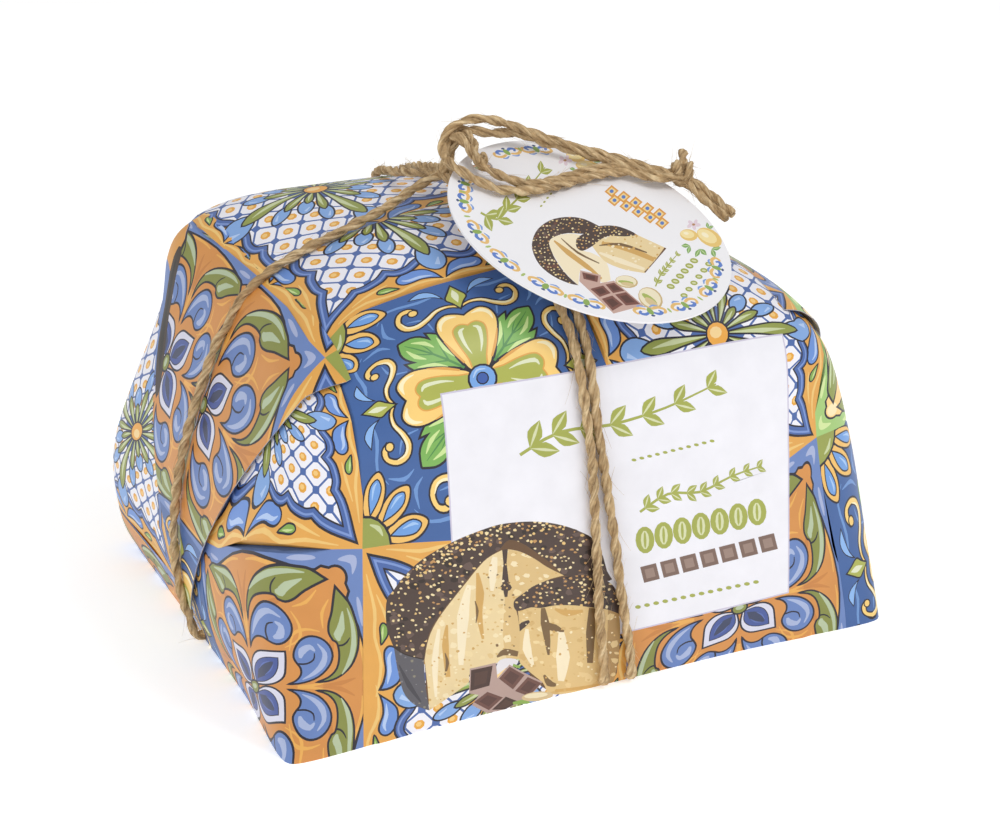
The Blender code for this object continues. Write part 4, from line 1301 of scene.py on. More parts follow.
# The fold that stands open at the left end's back: colours, and places as (y, z), from paper to shade. The
# first three are the fold's print; the last two are painted shadow in its open mouth, where there is only
# shade
SIDE_FOLD_AND_PAINTED_SHADOW = (
    ("221F2B", ((64, 139), (63, 127), (61, 114), (55, 102), (48, 91), (57, 94), (70, 109), (80, 128),
                (80, 142))),
    ("6C86BE", ((66, 139), (65, 127), (62.5, 114), (57, 102), (50, 91), (57, 94), (70, 109), (80, 128),
                (80, 142))),
    ("E0A04E", ((66, 139), (65, 131), (66, 126), (71, 128), (80, 131), (80, 142))),
    ("3B2E25", ((67, 136), (62, 134.5), (60.5, 126), (56, 113), (48.5, 101), (43, 90), (44, 84), (50, 91),
                (57.5, 102), (63, 113.8), (67.5, 125.5))),
    ("1E1813", ((65, 132), (63, 126), (58.5, 113), (51, 101), (47, 93), (56, 102), (61.5, 114),
                (65.5, 125))),
)


def flap_half_width(height):
    """How far the flap reaches to either side at a height."""
    down = min(max((FLAP_TOP - height) / (FLAP_TOP - FLAP_TIP), 0.0), 1.0)
    return FLAP_HALF_WIDTH + (FLAP_TIP_HALF_WIDTH - FLAP_HALF_WIDTH) * down


def flap_layer(side, back, columns=44, upper=40, lower=30):
    """One layer of an end flap: its grid of points, flat places, and distance from the crease."""
    at, run = end_run(side)
    points = np.zeros((columns, upper + lower, 3))
    for k in range(columns):
        share = k / (columns - 1)
        for j in range(upper + lower):
            y_guess = 0.0
            for _ in range(3):
                top = hit((side * FLAP_START, y_guess, HIGH_ABOVE), (0, 0, -1))
                steep = math.atan2(top.z - FLAP_PIVOT_Z, FLAP_START - FLAP_PIVOT_X)
                if j < upper:
                    tilt = steep * (1 - j / upper)
                    way = side * math.cos(tilt), 0, math.sin(tilt)
                    point = hit((side * FLAP_PIVOT_X, y_guess, FLAP_PIVOT_Z), way)
                else:
                    height = FLAP_PIVOT_Z + (FLAP_TIP - FLAP_PIVOT_Z) * (j - upper) / (lower - 1)
                    point = hit((0, y_guess, height), (side, 0, 0))
                y_guess = share * flap_half_width(point.z) * (1 if back else -1)
            points[k, j] = point
    x, y, z = np.moveaxis(points, -1, 0)
    down = np.interp(side * x - z, at, run)
    u = -down if side < 0 else RIGHT_CREASE_COLUMN + down + RIGHT_SHIFT
    v = (BACK_LAYER_ROW if back else FRONT_LAYER_ROW) + y / REPEAT
    flat = np.stack((u, v), -1)
    if side < 0:
        flat = pull(FLAP_BACK_PULL if back else FLAP_FRONT_PULL)(flat)
    return points, flat, down * REPEAT


def flap(name, side):
    """The triangle of paper folded down over an end, in a front and a back layer under the twine."""
    spots, ways, faces, colours = [], [], [], []
    for back in (False, True):
        points, places, down = flap_layer(side, back)
        normals = grid_normals(points)
        if normals[..., 0].mean() * side < 0:
            normals = -normals
        find = flat_lookup(points, places, normals)
        depth = flat_lookup(np.repeat(down[..., None], 3, -1), places, normals)
        outline = np.concatenate((places[:-1, 0], places[-1, :-1], places[:0:-1, -1], places[0, :0:-1]))
        # On the left flap's back layer: the open side fold's print, and painted shadow in its mouth
        fold_print_and_shadow = []
        if back and side < 0:
            sheet = Sheet(points, places)
            for colour, loop in SIDE_FOLD_AND_PAINTED_SHADOW:
                flat_loop = [sheet.place_of(hit((0, y, z), (side, 0, 0))) for y, z in loop]
                fold_print_and_shadow.append((colour, tidy_loop(smooth(flat_loop, steps=2)), None))
        flat, triangles, inks = printed(outline, fold_print_and_shadow)
        first, count = len(spots), len(flat)
        for thick in (0.0, FLAP_THICK):
            for u, v in flat:
                point, normal = find(u, v)
                normal = normal / np.linalg.norm(normal)
                share = min(max((depth(u, v)[0][0] + LIFT_BEFORE) / LIFT_RUN, 0.0), 1.0)
                lift = FLAP_CLEARANCE + FLAP_LIFT * share * share * (3 - 2 * share) - thick
                if back:
                    lift -= BACK_LAYER_LOWER
                spots.append(tuple(point + normal * lift))
                ways.append(tuple(normal if not thick else -normal))
        under = first + count
        rim = edge_loops(triangles)[0]
        faces += [tuple(first + v for v in triangle) for triangle in triangles]
        faces += [(under + a, under + c, under + b) for a, b, c in triangles]
        faces += [(first + b, first + a, under + a, under + b) for a, b in zip(rim, rim[1:] + rim[:1])]
        colours += inks + [PLAIN_PAPER] * (len(triangles) + len(rim))
    return piece_from(name, spots, faces, colours, paper, "wrap", ways)


flap("flap_left", -1)
flap("flap_right", 1)

# ---------------------------------------------------------------- the twine's route, as in the solids

TWINE_RADIUS, TWINE_GAP = 1.85, 0.35
CHANNEL_DEPTH, UNDER_LENGTHWISE, UNDER_CROSSWISE, BASE_TURN = 5.0, 2.4, 2.65, 2.6
UNDER_STEPS = (9.0, 25.0, 60.0)
OUTER_STRAND = ((75, -18, 165), (65.8, -16.9, 167.6), (58, -13.4, 170.2), (46, -8.9, 174.2),
                (33.3, -5.4, 178.6), (24.8, -3.5, 181.6), (17, -0.6, 184.9), (8.6, 0.4, 188.4),
                (0.9, 0, 191.1), (-6, 0.8, 192), (-12.6, 2, 189.7), (-16.6, 1.5, 186.5),
                (-18.4, -0.5, 183.6), (-20.2, -6, 181.4), (-20.6, -13, 180), (-18.6, -19, 178.2),
                (-15.4, -22.6, 176), (-9.1, -26.8, 173), (-3.6, -27.8, 171.7), (5.5, -27.1, 170.5),
                (16.2, -24.3, 169.9), (29.8, -19.5, 169.6), (42.2, -15.9, 169.3), (53, -15.4, 168.4),
                (62, -19.7, 166), (74, -20, 165.5))
UPPER_STRAND = ((73, -19, 164.8), (65, -19.1, 166.3), (53.6, -14.4, 170), (43.2, -9.6, 173.6),
                (34.5, -5.6, 176.6), (23.9, -1.1, 180.1), (16.5, 1.7, 183), (7.6, 1.1, 185),
                (0.6, -0.4, 186), (-5.1, 1, 187.6), (-9.2, 5, 187.2), (-12.2, 7, 184.6),
                (-13.8, 6, 180), (-15, 4.5, 175.6), (-16.5, 3, 171))
LOWER_STRAND = ((76, -19, 164.6), (68.3, -18.1, 165.6), (59.5, -15.6, 168), (46.6, -13, 170.6),
                (33.8, -15.6, 171.2), (20.9, -20.4, 171.1), (10.8, -23.8, 171.6), (3.9, -24.4, 172.5),
                (-1.1, -22.8, 174.2), (-6, -20.3, 176.4), (-9.6, -16.6, 179), (-9.6, -10.5, 181.4),
                (-7.6, -5, 184), (-8, -0.5, 186.6), (-9.4, 4.2, 185), (-11.4, 5.6, 180.5),
                (-14, 4.5, 176), (-17, 2.5, 171.5))
HUB_STRAND = ((-13.8, 0.5, 186.6), (-12.6, -3.4, 186.6), (-11.4, -7, 184.6), (-10.6, -11, 181.8),
              (-9.2, -15.5, 179.6))
HOLE_STRAND = ((-15.5, 3, 170), (-9.6, -4, 170.6), (-6.6, -8.2, 174.4), (-6.4, -10.4, 178.6),
               (-7.6, -12.5, 181.2))
END_KNOT_START, END_KNOT_END = Vector((70.5, -17.5, 166.6)), Vector((79.5, -18.5, 164.8))
END_KNOT_RADIUS, END_KNOT_TURNS, END_KNOT_POINTS = 3.4, 1.75, 15
STUB = ((75, -19, 164.5), (77.6, -14, 168), (80.2, -8.9, 171.7))
TAIL_OUTER = ((73, -17, 166.5), (77.4, -20.6, 163.4), (80.4, -26, 160.4), (83.2, -32, 157),
              (85.6, -38.6, 153.8))
TAIL_INNER = ((72, -18, 164.6), (75.4, -21.6, 162.3), (77.6, -27, 159), (80.2, -33, 155.6),
              (82.4, -39.2, 152.6))
LENGTHWISE_ROUTE = ((-21, 0), (0, 0), (45, 1), (80, 4), (97, 4), (120, 1.5), (160, 0), (201, 0))
CROSS_LEFT_ROUTE = ((-27, 0), (0, -2), (35, -7), (50, -13), (63, -19.5), (76, -20.5), (88, -16.5),
                    (97, -15), (110, -10), (128, -5.4), (150, -4.6), (162, -3.0), (178, -2.5),
                    (195, -1.8), (207, 0))
CROSS_RIGHT_ROUTE = ((-27, 11.2), (0, 8), (35, 1), (62, -5), (76, -9), (88, -13), (97, -12.5),
                     (110, -5), (128, 0.2), (150, -0.6), (162, 1.3), (178, 4.5), (195, 7.8),
                     (207, 11.2))
KNOT_LIFT, KNOT_LIFT_AT = 8.6, 98.0
LENGTHWISE_LIFT_SPREAD, BACK_LIFT_SPREAD, FRONT_LIFT_SPREAD = 8.5, 13.0, 6.0
LOOP_CENTRE_HEIGHT, FAR_OUT = 60.0, 400
LAID_POINTS, LAID_SPACING, CROSSWISE_ROOM, FINE_STEPS = 90, 8.0, 0.3, 16

wrap_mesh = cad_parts["wrap"].data
laying_skin = BVHTree.FromPolygons([vert.co.copy() for vert in wrap_mesh.vertices],
                                   [tuple(face.vertices) for face in wrap_mesh.polygons])


def smooth_route(points, spacing, closed=False):
    """Points at even spacing along a smooth curve through the route's own points."""
    route = [np.array(point, float) for point in points]
    count = len(route)
    if closed:
        route = [route[-1]] + route + route[:2]
    else:
        route = [2 * route[0] - route[1]] + route + [2 * route[-1] - route[-2]]
    fine = []
    for k in range(1, count + 1 if closed else count):
        fine += [spline(*route[k - 1:k + 3], step / FINE_STEPS) for step in range(FINE_STEPS)]
    fine.append(fine[0] if closed else route[-2])
    fine = np.array(fine)
    length = np.concatenate(([0], np.cumsum(np.linalg.norm(np.diff(fine, axis=0), axis=1))))
    pieces = max(3, round(length[-1] / spacing))
    even = np.linspace(0, length[-1], pieces + 1)
    spaced = np.stack([np.interp(even, length, fine[:, i]) for i in range(3)], 1)
    return spaced[:-1] if closed else spaced


def laid_point(turn, sideways, across):
    """A point of the twine's middle line where it lies on the wrap, in the loop's own plane."""
    way = Vector((math.cos(turn), 0, math.sin(turn)))
    middle = Vector((0, sideways, LOOP_CENTRE_HEIGHT))
    if across:
        way = Vector((0, way.x, way.z))
        middle = Vector((sideways, 0, LOOP_CENTRE_HEIGHT))
    point, normal, _, _ = laying_skin.ray_cast((middle + way * FAR_OUT) * MM, -way)
    away = math.degrees(turn) - (90.0 if across else KNOT_LIFT_AT)
    spread = LENGTHWISE_LIFT_SPREAD
    if across:
        spread = BACK_LIFT_SPREAD if away < 0 else FRONT_LIFT_SPREAD
    lift = KNOT_LIFT * math.exp(-0.5 * (away / spread) ** 2)
    return point / MM + normal * (TWINE_RADIUS + TWINE_GAP + lift)


def loop_points(sideways, across):
    """One round of the twine: up one side, over the top, down the other and under the base."""
    route = []
    for turn in np.linspace(sideways[0][0], sideways[-1][0], LAID_POINTS):
        route.append(laid_point(math.radians(turn), float(flow(sideways, turn)), across))
    route = list(smooth_route(route, LAID_SPACING))
    if across:
        reach, under = FRONT_REACH[0][1] + CROSSWISE_ROOM, UNDER_CROSSWISE
    else:
        reach, under = float(flow(END_REACH, CHANNEL_DEPTH)), UNDER_LENGTHWISE
    bend = [(reach + BASE_TURN * math.cos(angle), CHANNEL_DEPTH - BASE_TURN * math.sin(angle))
            for angle in np.radians((0, 45, 90))]
    bend += [(reach - inward, under) for inward in UNDER_STEPS]
    for (_, side), sign, way in ((sideways[-1], -1, bend), (sideways[0], 1, bend[::-1])):
        for out, height in way:
            route.append(np.array((side, sign * out, height) if across else (sign * out, side, height)))
    return route


def end_knot_points():
    """The overhand knot where the twine's ends meet: a helix round the strands."""
    axis = (END_KNOT_END - END_KNOT_START).normalized()
    side = axis.cross(Vector((0, 0, 1))).normalized()
    up = side.cross(axis)
    points = []
    for t in np.linspace(0, 1, END_KNOT_POINTS):
        turn = 2 * math.pi * END_KNOT_TURNS * t
        middle = END_KNOT_START.lerp(END_KNOT_END, t)
        points.append(middle + END_KNOT_RADIUS * (math.cos(turn) * side + math.sin(turn) * up))
    return points


# ---------------------------------------------------------------- the twine's own look

PLY_PITCH, PLY_REACH, PLY_RADIUS, PLY_SIDES, RING_SPACING = 17.0, 0.66, 1.2, 14, 1.0
PLY_ROLL = 0.55
# How much the plies wander, and over how many rings
WIND_WANDER, REACH_WANDER, SIZE_WANDER = (0.5, 30), (0.10, 8), (0.07, 5)
ROUGHNESS, STRAND_RIDGES, FINE_RIDGES = 0.03, 0.10, 0.05
# Jute tones; the groove tone is painted shade between the plies and painted light on their outer sides
MIDDLE_TONE, STREAK_TONE, STREAK_RINGS, PAINTED_GROOVE_SHADE, SPECK_TONE = 0.50, 0.22, 7, 0.11, 0.09
SLANTED = (0.31, 0.17, 0.93)        # a direction that no strand starts along
JUTE_DARK, JUTE_MIDDLE, JUTE_LIGHT = tint("765B3D"), tint("B99A6F"), tint("E3CBA1")
rng = np.random.default_rng(11)


def wander(count, step, closed=False):
    """A smooth random run of numbers about nought, changing over so many rings."""
    knots = rng.normal(size=max(int(count / step) + 3, 4))
    if closed:
        knots[-1] = knots[0]
    at = np.linspace(0, len(knots) - 1, count)
    low = np.floor(at).astype(int).clip(0, len(knots) - 2)
    t = at - low
    t = t * t * (3 - 2 * t)
    return knots[low] * (1 - t) + knots[low + 1] * t


def carried_frames(path, closed):
    """Two directions across the path at each of its points, carried along without turning."""
    ahead = np.roll(path, -1, 0) - np.roll(path, 1, 0) if closed else np.gradient(path, axis=0)
    ahead /= np.linalg.norm(ahead, axis=1, keepdims=True)
    side = np.cross(ahead[0], SLANTED)
    side /= np.linalg.norm(side)
    sides = []
    for way in ahead:
        side = side - way * side.dot(way)
        side /= np.linalg.norm(side)
        sides.append(side)
    sides = np.array(sides)
    if closed:
        last = sides[-1] - ahead[0] * sides[-1].dot(ahead[0])
        slip = math.atan2(np.cross(sides[0], last).dot(ahead[0]), sides[0].dot(last))
        turn = -slip * np.arange(len(path)) / len(path)
        ups = np.cross(ahead, sides)
        sides = sides * np.cos(turn)[:, None] + ups * np.sin(turn)[:, None]
    return ahead, sides, np.cross(ahead, sides)


class Cordage:
    """A mesh in the making: tubes with a colour at each of their points."""

    def __init__(self):
        self.spots, self.faces, self.colours = [], [], []

    def tube(self, rings, colours, closed):
        """Join rings of points into a tube; the ends of an open one are capped."""
        first, (count, sides) = len(self.spots), rings.shape[:2]
        self.spots.extend(rings.reshape(-1, 3))
        self.colours.extend(colours.reshape(-1, 3))
        for k in range(count if closed else count - 1):
            a, b = first + k * sides, first + (k + 1) % count * sides
            for j in range(sides):
                n = (j + 1) % sides
                self.faces.append((a + j, a + n, b + n, b + j))
        if not closed:
            self.faces.append(tuple(range(first + sides - 1, first - 1, -1)))
            self.faces.append(tuple(range(first + (count - 1) * sides, first + count * sides)))

    def piece(self, name):
        """The finished mesh as a piece of the twine."""
        return piece_from(name, self.spots, self.faces, self.colours, jute, "twine")


def shade(amount):
    """Jute colours from dark, at nought, through the middle to light, at one."""
    amount = np.clip(amount, 0, 1)[..., None]
    dark, middle, light = (np.array(c) for c in (JUTE_DARK, JUTE_MIDDLE, JUTE_LIGHT))
    return np.where(amount < 0.5, dark + (middle - dark) * amount * 2,
                    middle + (light - middle) * (amount * 2 - 1))


def twisted(cord, route, closed=False):
    """Two plies wound round each other along a route."""
    path = smooth_route(route, RING_SPACING, closed)
    count = len(path)
    ahead, side, up = carried_frames(path, closed)

    def varied(amount, rings):
        return amount * wander(count, rings, closed)

    turns = max(1, round(count * RING_SPACING / PLY_PITCH * 2)) / 2
    wind = 2 * math.pi * turns * np.arange(count) / count + varied(*WIND_WANDER)
    angles = np.linspace(0, 2 * math.pi, PLY_SIDES, endpoint=False)
    for ply in (0.0, math.pi):
        reach = PLY_REACH * (1 + varied(*REACH_WANDER))
        middle = (path + (np.cos(wind + ply) * reach)[:, None] * side
                  + (np.sin(wind + ply) * reach)[:, None] * up)
        size = PLY_RADIUS * (1 + varied(*SIZE_WANDER))[:, None]
        around = angles[None] + (wind * PLY_ROLL)[:, None]
        ridges = STRAND_RIDGES * np.sin(3 * angles + ply)[None] + FINE_RIDGES * np.sin(5 * angles)[None]
        size = size * (1 + ridges + ROUGHNESS * rng.normal(size=(count, PLY_SIDES)))
        rings = (middle[:, None] + (np.cos(around) * size)[..., None] * side[:, None]
                 + (np.sin(around) * size)[..., None] * up[:, None])
        streaks = np.stack([wander(count, STREAK_RINGS, closed) for _ in range(PLY_SIDES)], 1)
        # Painted light and shade: each ply is darker on its side in the groove against the other ply and
        # lighter on its outer side
        painted_ply_shading = np.cos(around - (wind + ply)[:, None])
        tone = (MIDDLE_TONE + STREAK_TONE * streaks + PAINTED_GROOVE_SHADE * painted_ply_shading
                + SPECK_TONE * rng.normal(size=(count, PLY_SIDES)))
        cord.tube(rings, shade(tone), closed)
    return path, ahead, side, up


FIBRE_RADIUS, FIBRE_ROOM, FIBRE_TAPER, FIBRE_POINTS = 0.085, 3.0, 0.6, 6
FIBRE_START, FIBRE_ALONG, FIBRE_RISE, FIBRE_SIDEWAYS = 1.4, 0.85, 0.26, 0.35
FIBRE_FLOOR = 0.2      # no fibre goes lower than this


def stray_fibres(cord, walks, number, longest):
    """Fine fibres that stand off the twine."""
    low, high = np.array(solid_box[0]) / MM - FIBRE_ROOM, np.array(solid_box[1]) / MM + FIBRE_ROOM
    low[2] = FIBRE_FLOOR
    shares = np.array([len(walk[0]) for walk in walks], float)
    shares /= shares.sum()
    t = np.linspace(0, 1, FIBRE_POINTS)
    angles = np.linspace(0, 2 * math.pi, 3, endpoint=False)
    size = (FIBRE_RADIUS * (1 - FIBRE_TAPER * t))[:, None, None]
    for _ in range(number):
        path, ahead, side, up = walks[int(rng.choice(len(walks), p=shares))]
        k = int(rng.integers(2, len(path) - 2))
        turn = rng.uniform(0, 2 * math.pi)
        out = math.cos(turn) * side[k] + math.sin(turn) * up[k]
        way = ahead[k] * rng.choice((-1, 1))
        length = longest * rng.uniform(0.25, 1.0) ** 1.6
        bow, twist = rng.uniform(-1.2, 0.9), rng.uniform(-0.8, 0.8)
        other = np.cross(way, out)
        line = (path[k] + out * FIBRE_START + way * (t * length * FIBRE_ALONG)[:, None]
                + out * (t * length * FIBRE_RISE * (1 + bow * t))[:, None]
                + other * (twist * length * FIBRE_SIDEWAYS * t * t)[:, None])
        ring = np.cos(angles)[None, :, None] * out + np.sin(angles)[None, :, None] * other
        rings = line[:, None] + size * ring
        if (line < low).any() or (line > high).any():
            continue
        if np.linalg.det(np.stack((out, other, way))) <= 0:
            rings = rings[:, ::-1]
        tone = shade(np.full((FIBRE_POINTS, 1), rng.uniform(0.45, 1.0)))
        cord.tube(rings, np.repeat(tone, 3, 1), False)


cordage, walks = Cordage(), []
for sideways, across in ((LENGTHWISE_ROUTE, False), (CROSS_LEFT_ROUTE, True), (CROSS_RIGHT_ROUTE, True)):
    walks.append(twisted(cordage, loop_points(sideways, across), True))
STRANDS = (OUTER_STRAND, UPPER_STRAND, LOWER_STRAND, HUB_STRAND, HOLE_STRAND, STUB, TAIL_OUTER, TAIL_INNER)
for route in (*STRANDS, end_knot_points()):
    walks.append(twisted(cordage, route))
cordage.piece("twine_strands")
fuzz = Cordage()
for number, longest in ((3000, 8.0), (450, 17.0)):
    stray_fibres(fuzz, walks, number, longest)
fuzz.piece("twine_fibres")

# ---------------------------------------------------------------- the hang tag

TAG_RADIUS, TAG_THICKNESS, SHARP_FROM = 54.6, 0.8, 40
TAG_CENTRE = Vector((21.7, -43.0, 158.3))
TAG_NORMAL = Vector((0.161, -0.399, 1.0)).normalized()
TAG_HOLE, TAG_HOLE_RADIUS = Vector((-6.2, -8.9, 176.4)), 4.2
TAG_ACROSS = Vector((0, 1, 0)).cross(TAG_NORMAL).normalized()
TAG_UP = TAG_NORMAL.cross(TAG_ACROSS)
TAG_TOP = TAG_CENTRE + TAG_NORMAL * TAG_THICKNESS / 2


def on_tag(points):
    """Places on the tag, in print repeats from its middle, that lie at these places in the picture."""
    places = []
    for x, y in points:
        way = look(x, y)
        far = (TAG_TOP - CAMERA_PLACE).dot(TAG_NORMAL) / way.dot(TAG_NORMAL)
        spot = CAMERA_PLACE + way * far - TAG_TOP
        places.append((spot.dot(TAG_ACROSS) / REPEAT, spot.dot(TAG_UP) / REPEAT))
    return places


def tag_piece(art):
    """The round card, printed on top, with its string hole."""
    rim = blob(0, 0, TAG_RADIUS / REPEAT, sides=128)
    way = TAG_HOLE - TAG_CENTRE
    hole = blob(way.dot(TAG_ACROSS) / REPEAT, way.dot(TAG_UP) / REPEAT, TAG_HOLE_RADIUS / REPEAT, sides=28)
    white = "F4F3F6"
    flat, triangles, inks = printed(rim, art + [(HOLE, hole, None)], grain=0.2, tiles=False, ground=white)
    count = len(flat)
    spots = []
    for side in (0.5, -0.5):
        for u, v in flat:
            spots.append(tuple(TAG_CENTRE + TAG_ACROSS * (u * REPEAT) + TAG_UP * (v * REPEAT)
                               + TAG_NORMAL * (side * TAG_THICKNESS)))
    faces = list(triangles) + [(count + a, count + c, count + b) for a, b, c in triangles]
    edges = {edge for a, b, c in triangles for edge in ((a, b), (b, c), (c, a))}
    rims = sorted((a, b) for a, b in edges if (b, a) not in edges)
    faces += [(b, a, count + a, count + b) for a, b in rims]
    inks += [white] * (len(faces) - len(inks))
    thing = piece_from("tag_card", spots, faces, inks, card, "hang_tag")
    bpy.ops.object.select_all(action="DESELECT")
    thing.select_set(True)
    bpy.context.view_layer.objects.active = thing
    bpy.ops.object.shade_smooth_by_angle(angle=math.radians(SHARP_FROM))


badge = Board(TAG_BOARD, on_tag)
tag_crust = [(408, 605), (415, 550), (445, 508), (500, 478), (570, 470), (630, 480), (692, 510, 1),
             (640, 540), (560, 538), (505, 552), (482, 572), (492, 620), (520, 670), (560, 720),
             (602, 757, 1), (560, 748), (495, 718), (438, 670)]
tag_face = [(480, 572), (510, 550), (570, 540), (615, 548, 1), (600, 580), (625, 612), (660, 622),
            (720, 660), (738, 735, 1), (700, 745), (655, 700), (612, 690), (602, 757, 1), (550, 707),
            (510, 650), (488, 610)]
tag_wedge_crust = [(592, 585), (600, 556), (650, 528), (692, 508), (760, 508), (820, 528), (850, 546, 1),
                   (800, 552), (740, 550), (700, 562), (662, 592), (622, 612), (600, 604)]
tag_wedge = [(660, 592, 1), (700, 562), (760, 548), (848, 545, 1), (972, 602, 1), (882, 706, 1),
             (800, 692), (725, 664), (688, 630)]
shape = badge.fill(CRUST, tag_crust)
badge.specks((CRUST_LIGHT, "6A4336"), tag_crust, 20, 8, 16, shape, 16)
badge.specks(SEEDS, tag_crust, 110, 3, 5.5, shape, 10)
shape = badge.fill(CRUMB_LIGHT, tag_face)
badge.strokes(shape, (
    (CRUMB_GOLD, [(500, 570), (560, 620), (640, 680), (700, 730)], (6, 22, 20, 8)),
    (CRUMB_BROWN, [(530, 560), (600, 620), (690, 665)], (3, 9, 4))))
shape = badge.fill(CRUMB, tag_wedge)
badge.strokes(shape, (
    (CRUMB_GOLD, [(700, 580), (800, 600), (920, 650)], (10, 26, 18)),
    (CRUMB_LIGHT, [(690, 620), (780, 655), (880, 690)], (8, 22, 12)),
    (CRUMB_BROWN, [(690, 590), (780, 585), (890, 620)], (4, 12, 5)),
    ("6B4A2E", [(968, 600), (930, 652), (882, 704)], (9, 9, 9))))
badge.specks((CRUMB_GOLD, CRUMB_LIGHT), tag_wedge, 30, 4, 8, shape, 16)
shape = badge.fill(CRUST, tag_wedge_crust)
badge.specks(SEEDS, tag_wedge_crust, 50, 3, 5.5, shape, 10)
badge.fill("C9A79A", [(610, 694, 1), (696, 714, 1), (694, 748, 1), (752, 738, 1), (876, 842, 1),
                      (750, 876, 1), (640, 772, 1), (606, 740, 1)], False)
for square in ([(618, 702), (686, 718), (682, 744), (624, 730)],
               [(652, 772), (706, 758), (738, 790), (692, 806)],
               [(716, 754), (752, 746), (796, 780), (748, 790)],
               [(700, 814), (744, 800), (790, 838), (746, 864)],
               [(756, 796), (802, 786), (862, 836), (802, 842)]):
    badge.bit("7A4B40", "5B372E", square, .6)
for x, y, rx, ry, turn in ((805, 742, 48, 26, 8), (905, 812, 56, 42, 35)):
    badge.oval("CDB27E", x, y, rx, ry, turn, 16)
    badge.oval("F1E6C6", x - 2, y - 2, rx * .9, ry * .86, turn, 16)
    badge.oval("A9B85C", x - 4, y + 2, rx * .7, ry * .26, turn, 12)
    badge.oval("D9C391", x + 4, y + ry * .4, rx * .6, ry * .3, turn, 12)
for x, y, turn, size in ((668, 238, 20, 40), (590, 270, 150, 26), (636, 282, 70, 20), (1112, 604, 80, 40),
                         (1070, 590, 140, 36), (1162, 604, 30, 40), (1146, 518, -60, 26),
                         (700, 250, 10, 30)):
    leaf_pair(badge, x, y, turn, size, "7FAA5C", "C7DDA0")
for x, y, rx, ry, turn in ((592, 215, 42, 24, 10), (640, 256, 50, 23, 8), (1066, 546, 38, 24, 10),
                           (1152, 556, 58, 34, 30)):
    badge.oval("EBC775", x, y, rx, ry, turn, 16)
    badge.oval("F8E3A4", x - rx * .15, y - ry * .15, rx * .78, ry * .7, turn, 14)
    badge.oval("FDF2CE", x - rx * .3, y - ry * .3, rx * .3, ry * .26, turn, 10)
for x, y in ((546, 232), (1086, 502)):
    for k in range(5):
        a = math.radians(72 * k + 10)
        badge.oval("E6D3DE", x + 18 * math.cos(a), y + 11 * math.sin(a), 13, 8, 72 * k, 8)
    badge.oval("B98A5E", x, y, 7, 5, sides=8)
for row in range(2):
    for k in range(5):
        x, y = 742 + 50 * k + 12 * row, 362 + 24 * k + 46 * row - 8 * row
        badge.fill("DF9C45", [(x - 30, y + 2), (x, y - 26), (x + 30, y - 2), (x, y + 26)], False)
        badge.fill("F6D996", [(x - 20, y + 1), (x, y - 17), (x + 20, y - 1), (x, y + 17)], False)
        badge.oval("5A7FC6", x, y, 9, 8, sides=8)
sprig(badge, [(192, 452), (262, 480), (320, 420), (390, 350), (462, 262)], 74, 6, OLIVE_INK, PALE_LEAF, 9)
row_of(badge, (446, 424), (500, 356), 5, [(OLIVE_INK, 6, 4, 20, 8)])
sprig(badge, [(926, 762), (946, 716), (966, 690), (990, 660), (1022, 622)], 30, 6, OLIVE_INK, PALE_LEAF, 6)
row_of(badge, (990, 762), (1088, 654), 6, [(OLIVE_INK, 18, 11, 60, 10), (PALE_LEAF, 11, 4, 60, 8)])
row_of(badge, (1046, 800), (1150, 668), 6, [(OLIVE_INK, 16, 10, 60, 10), (PALE_LEAF, 9, 4, 60, 8)])

BORDER_FIGURES = ((502, 148), (536, 149), (455, 180), (457, 200), (470, 232), (497, 263), (541, 292),
                  (586, 310), (655, 318), (690, 309), (715, 291), (723, 270))
BORDER_REACH, BUD_REACH, BUD_GAP = .487, .492, 60


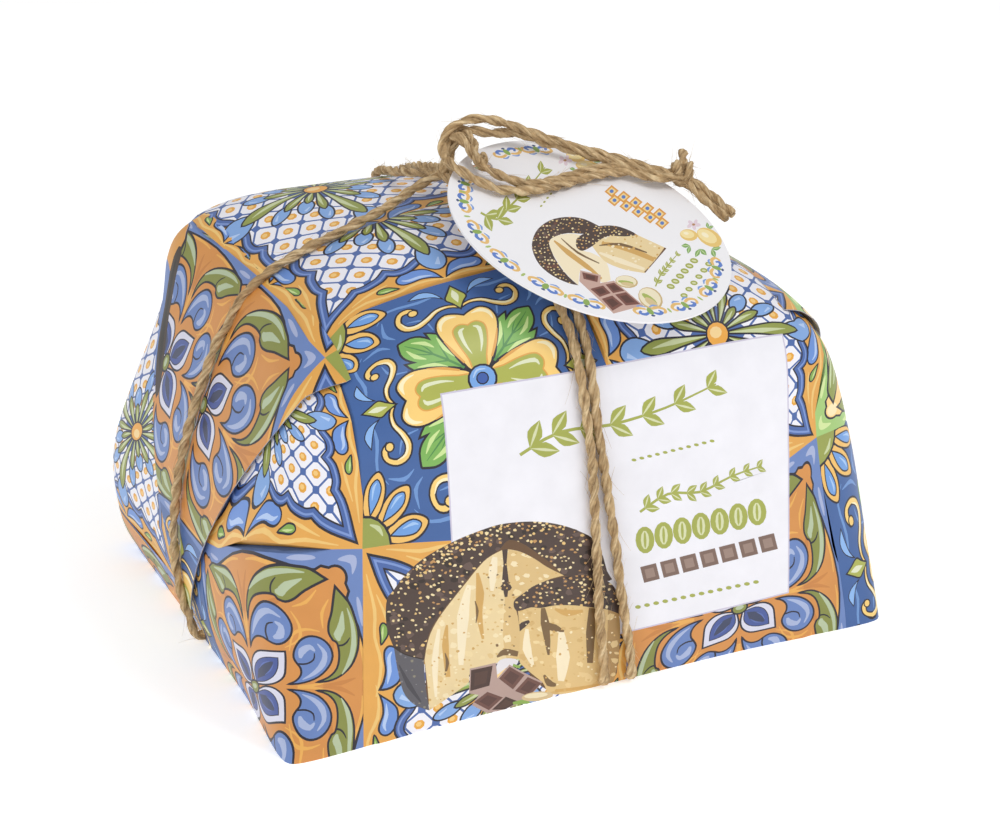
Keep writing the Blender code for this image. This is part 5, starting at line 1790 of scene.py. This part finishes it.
def border_figure(x, y):
    """Two mirrored scrolls with a green bud between, along the tag's rim."""
    (u, v), = on_tag([(x, y)])
    turn = math.degrees(math.atan2(v, u)) - 90
    shapes = []
    for side in (-1, 1):
        for ink, points, widths in (
                ("E9BE74", [(.012, -.012), (.04, -.020), (.064, -.008), (.058, .010), (.044, .006)],
                 (.010, .014, .013, .011, .009)),
                ("5E82CC", [(.008, .006), (.028, .016), (.046, .008), (.036, -.004)],
                 (.009, .015, .013, .008)),
                ("7EA0DC", [(.008, -.024), (.028, -.032), (.044, -.028)], (.004, .009, .004))):
            shapes.append((ink, brush([(a * side, b) for a, b in points], widths)))
    shapes.append(("8FAE58", blob(0, 0, .013, .020, 8)))
    shapes.append(("44547E", blob(0, .024, .009, .006, 6)))
    centre = np.array((u, v)) * min(1.0, BORDER_REACH / math.hypot(u, v))
    return [(ink, turned(loop, turn) + centre, None) for ink, loop in shapes]


tag_art = list(badge.shapes)
for place in BORDER_FIGURES:
    tag_art += border_figure(*place)
for (x0, y0), (x1, y1) in zip(BORDER_FIGURES, BORDER_FIGURES[1:]):
    if math.hypot(x1 - x0, y1 - y0) < BUD_GAP:
        (u, v), = on_tag([((x0 + x1) / 2, (y0 + y1) / 2)])
        centre = np.array((u, v)) * BUD_REACH / math.hypot(u, v)
        tag_art.append(("A9C06A", blob(*centre, .014, .006, 6, math.degrees(math.atan2(v, u))), None))
tag_piece(tag_art)

# ---------------------------------------------------------------- floor, light and sky

FLOOR_SIZE, WHITE = 12.0, (1.0, 1.0, 1.0, 1.0)
PACK_MIDDLE = Vector((0, 0, 0.08))
floor_material, floor_nodes, _ = shader_material("floor")
settings(floor_nodes["Principled BSDF"], {
    "Base Color": (0.93, 0.93, 0.93, 1.0), "Roughness": 0.9, "Specular IOR Level": 0.1,
    "Emission Color": WHITE, "Emission Strength": 0.42})
bpy.ops.object.select_all(action="DESELECT")
bpy.ops.mesh.primitive_plane_add(size=FLOOR_SIZE, location=(0, 0, 0))
floor = bpy.context.active_object
floor.name = "floor"
floor.data.materials.append(floor_material)

world = bpy.data.worlds.new("studio")
world.use_nodes = True
settings(world.node_tree.nodes["Background"], {"Color": WHITE, "Strength": 0.57})
scene.world = world


def soft_light(name, place, size, watts):
    """A round soft light that looks at the middle of the pack."""
    lamp = bpy.data.lights.new(name, "AREA")
    lamp.shape, lamp.size, lamp.energy = "DISK", size, watts
    thing = new_object(name, lamp)
    thing.location = place
    thing.rotation_euler = (PACK_MIDDLE - Vector(place)).to_track_quat("-Z", "Y").to_euler()


soft_light("key_light", (0.48, -0.60, 1.12), 0.5, 4.6)
soft_light("side_light", (-1.0, -0.35, 0.7), 0.7, 2.5)
scene.view_settings.view_transform = "Standard"
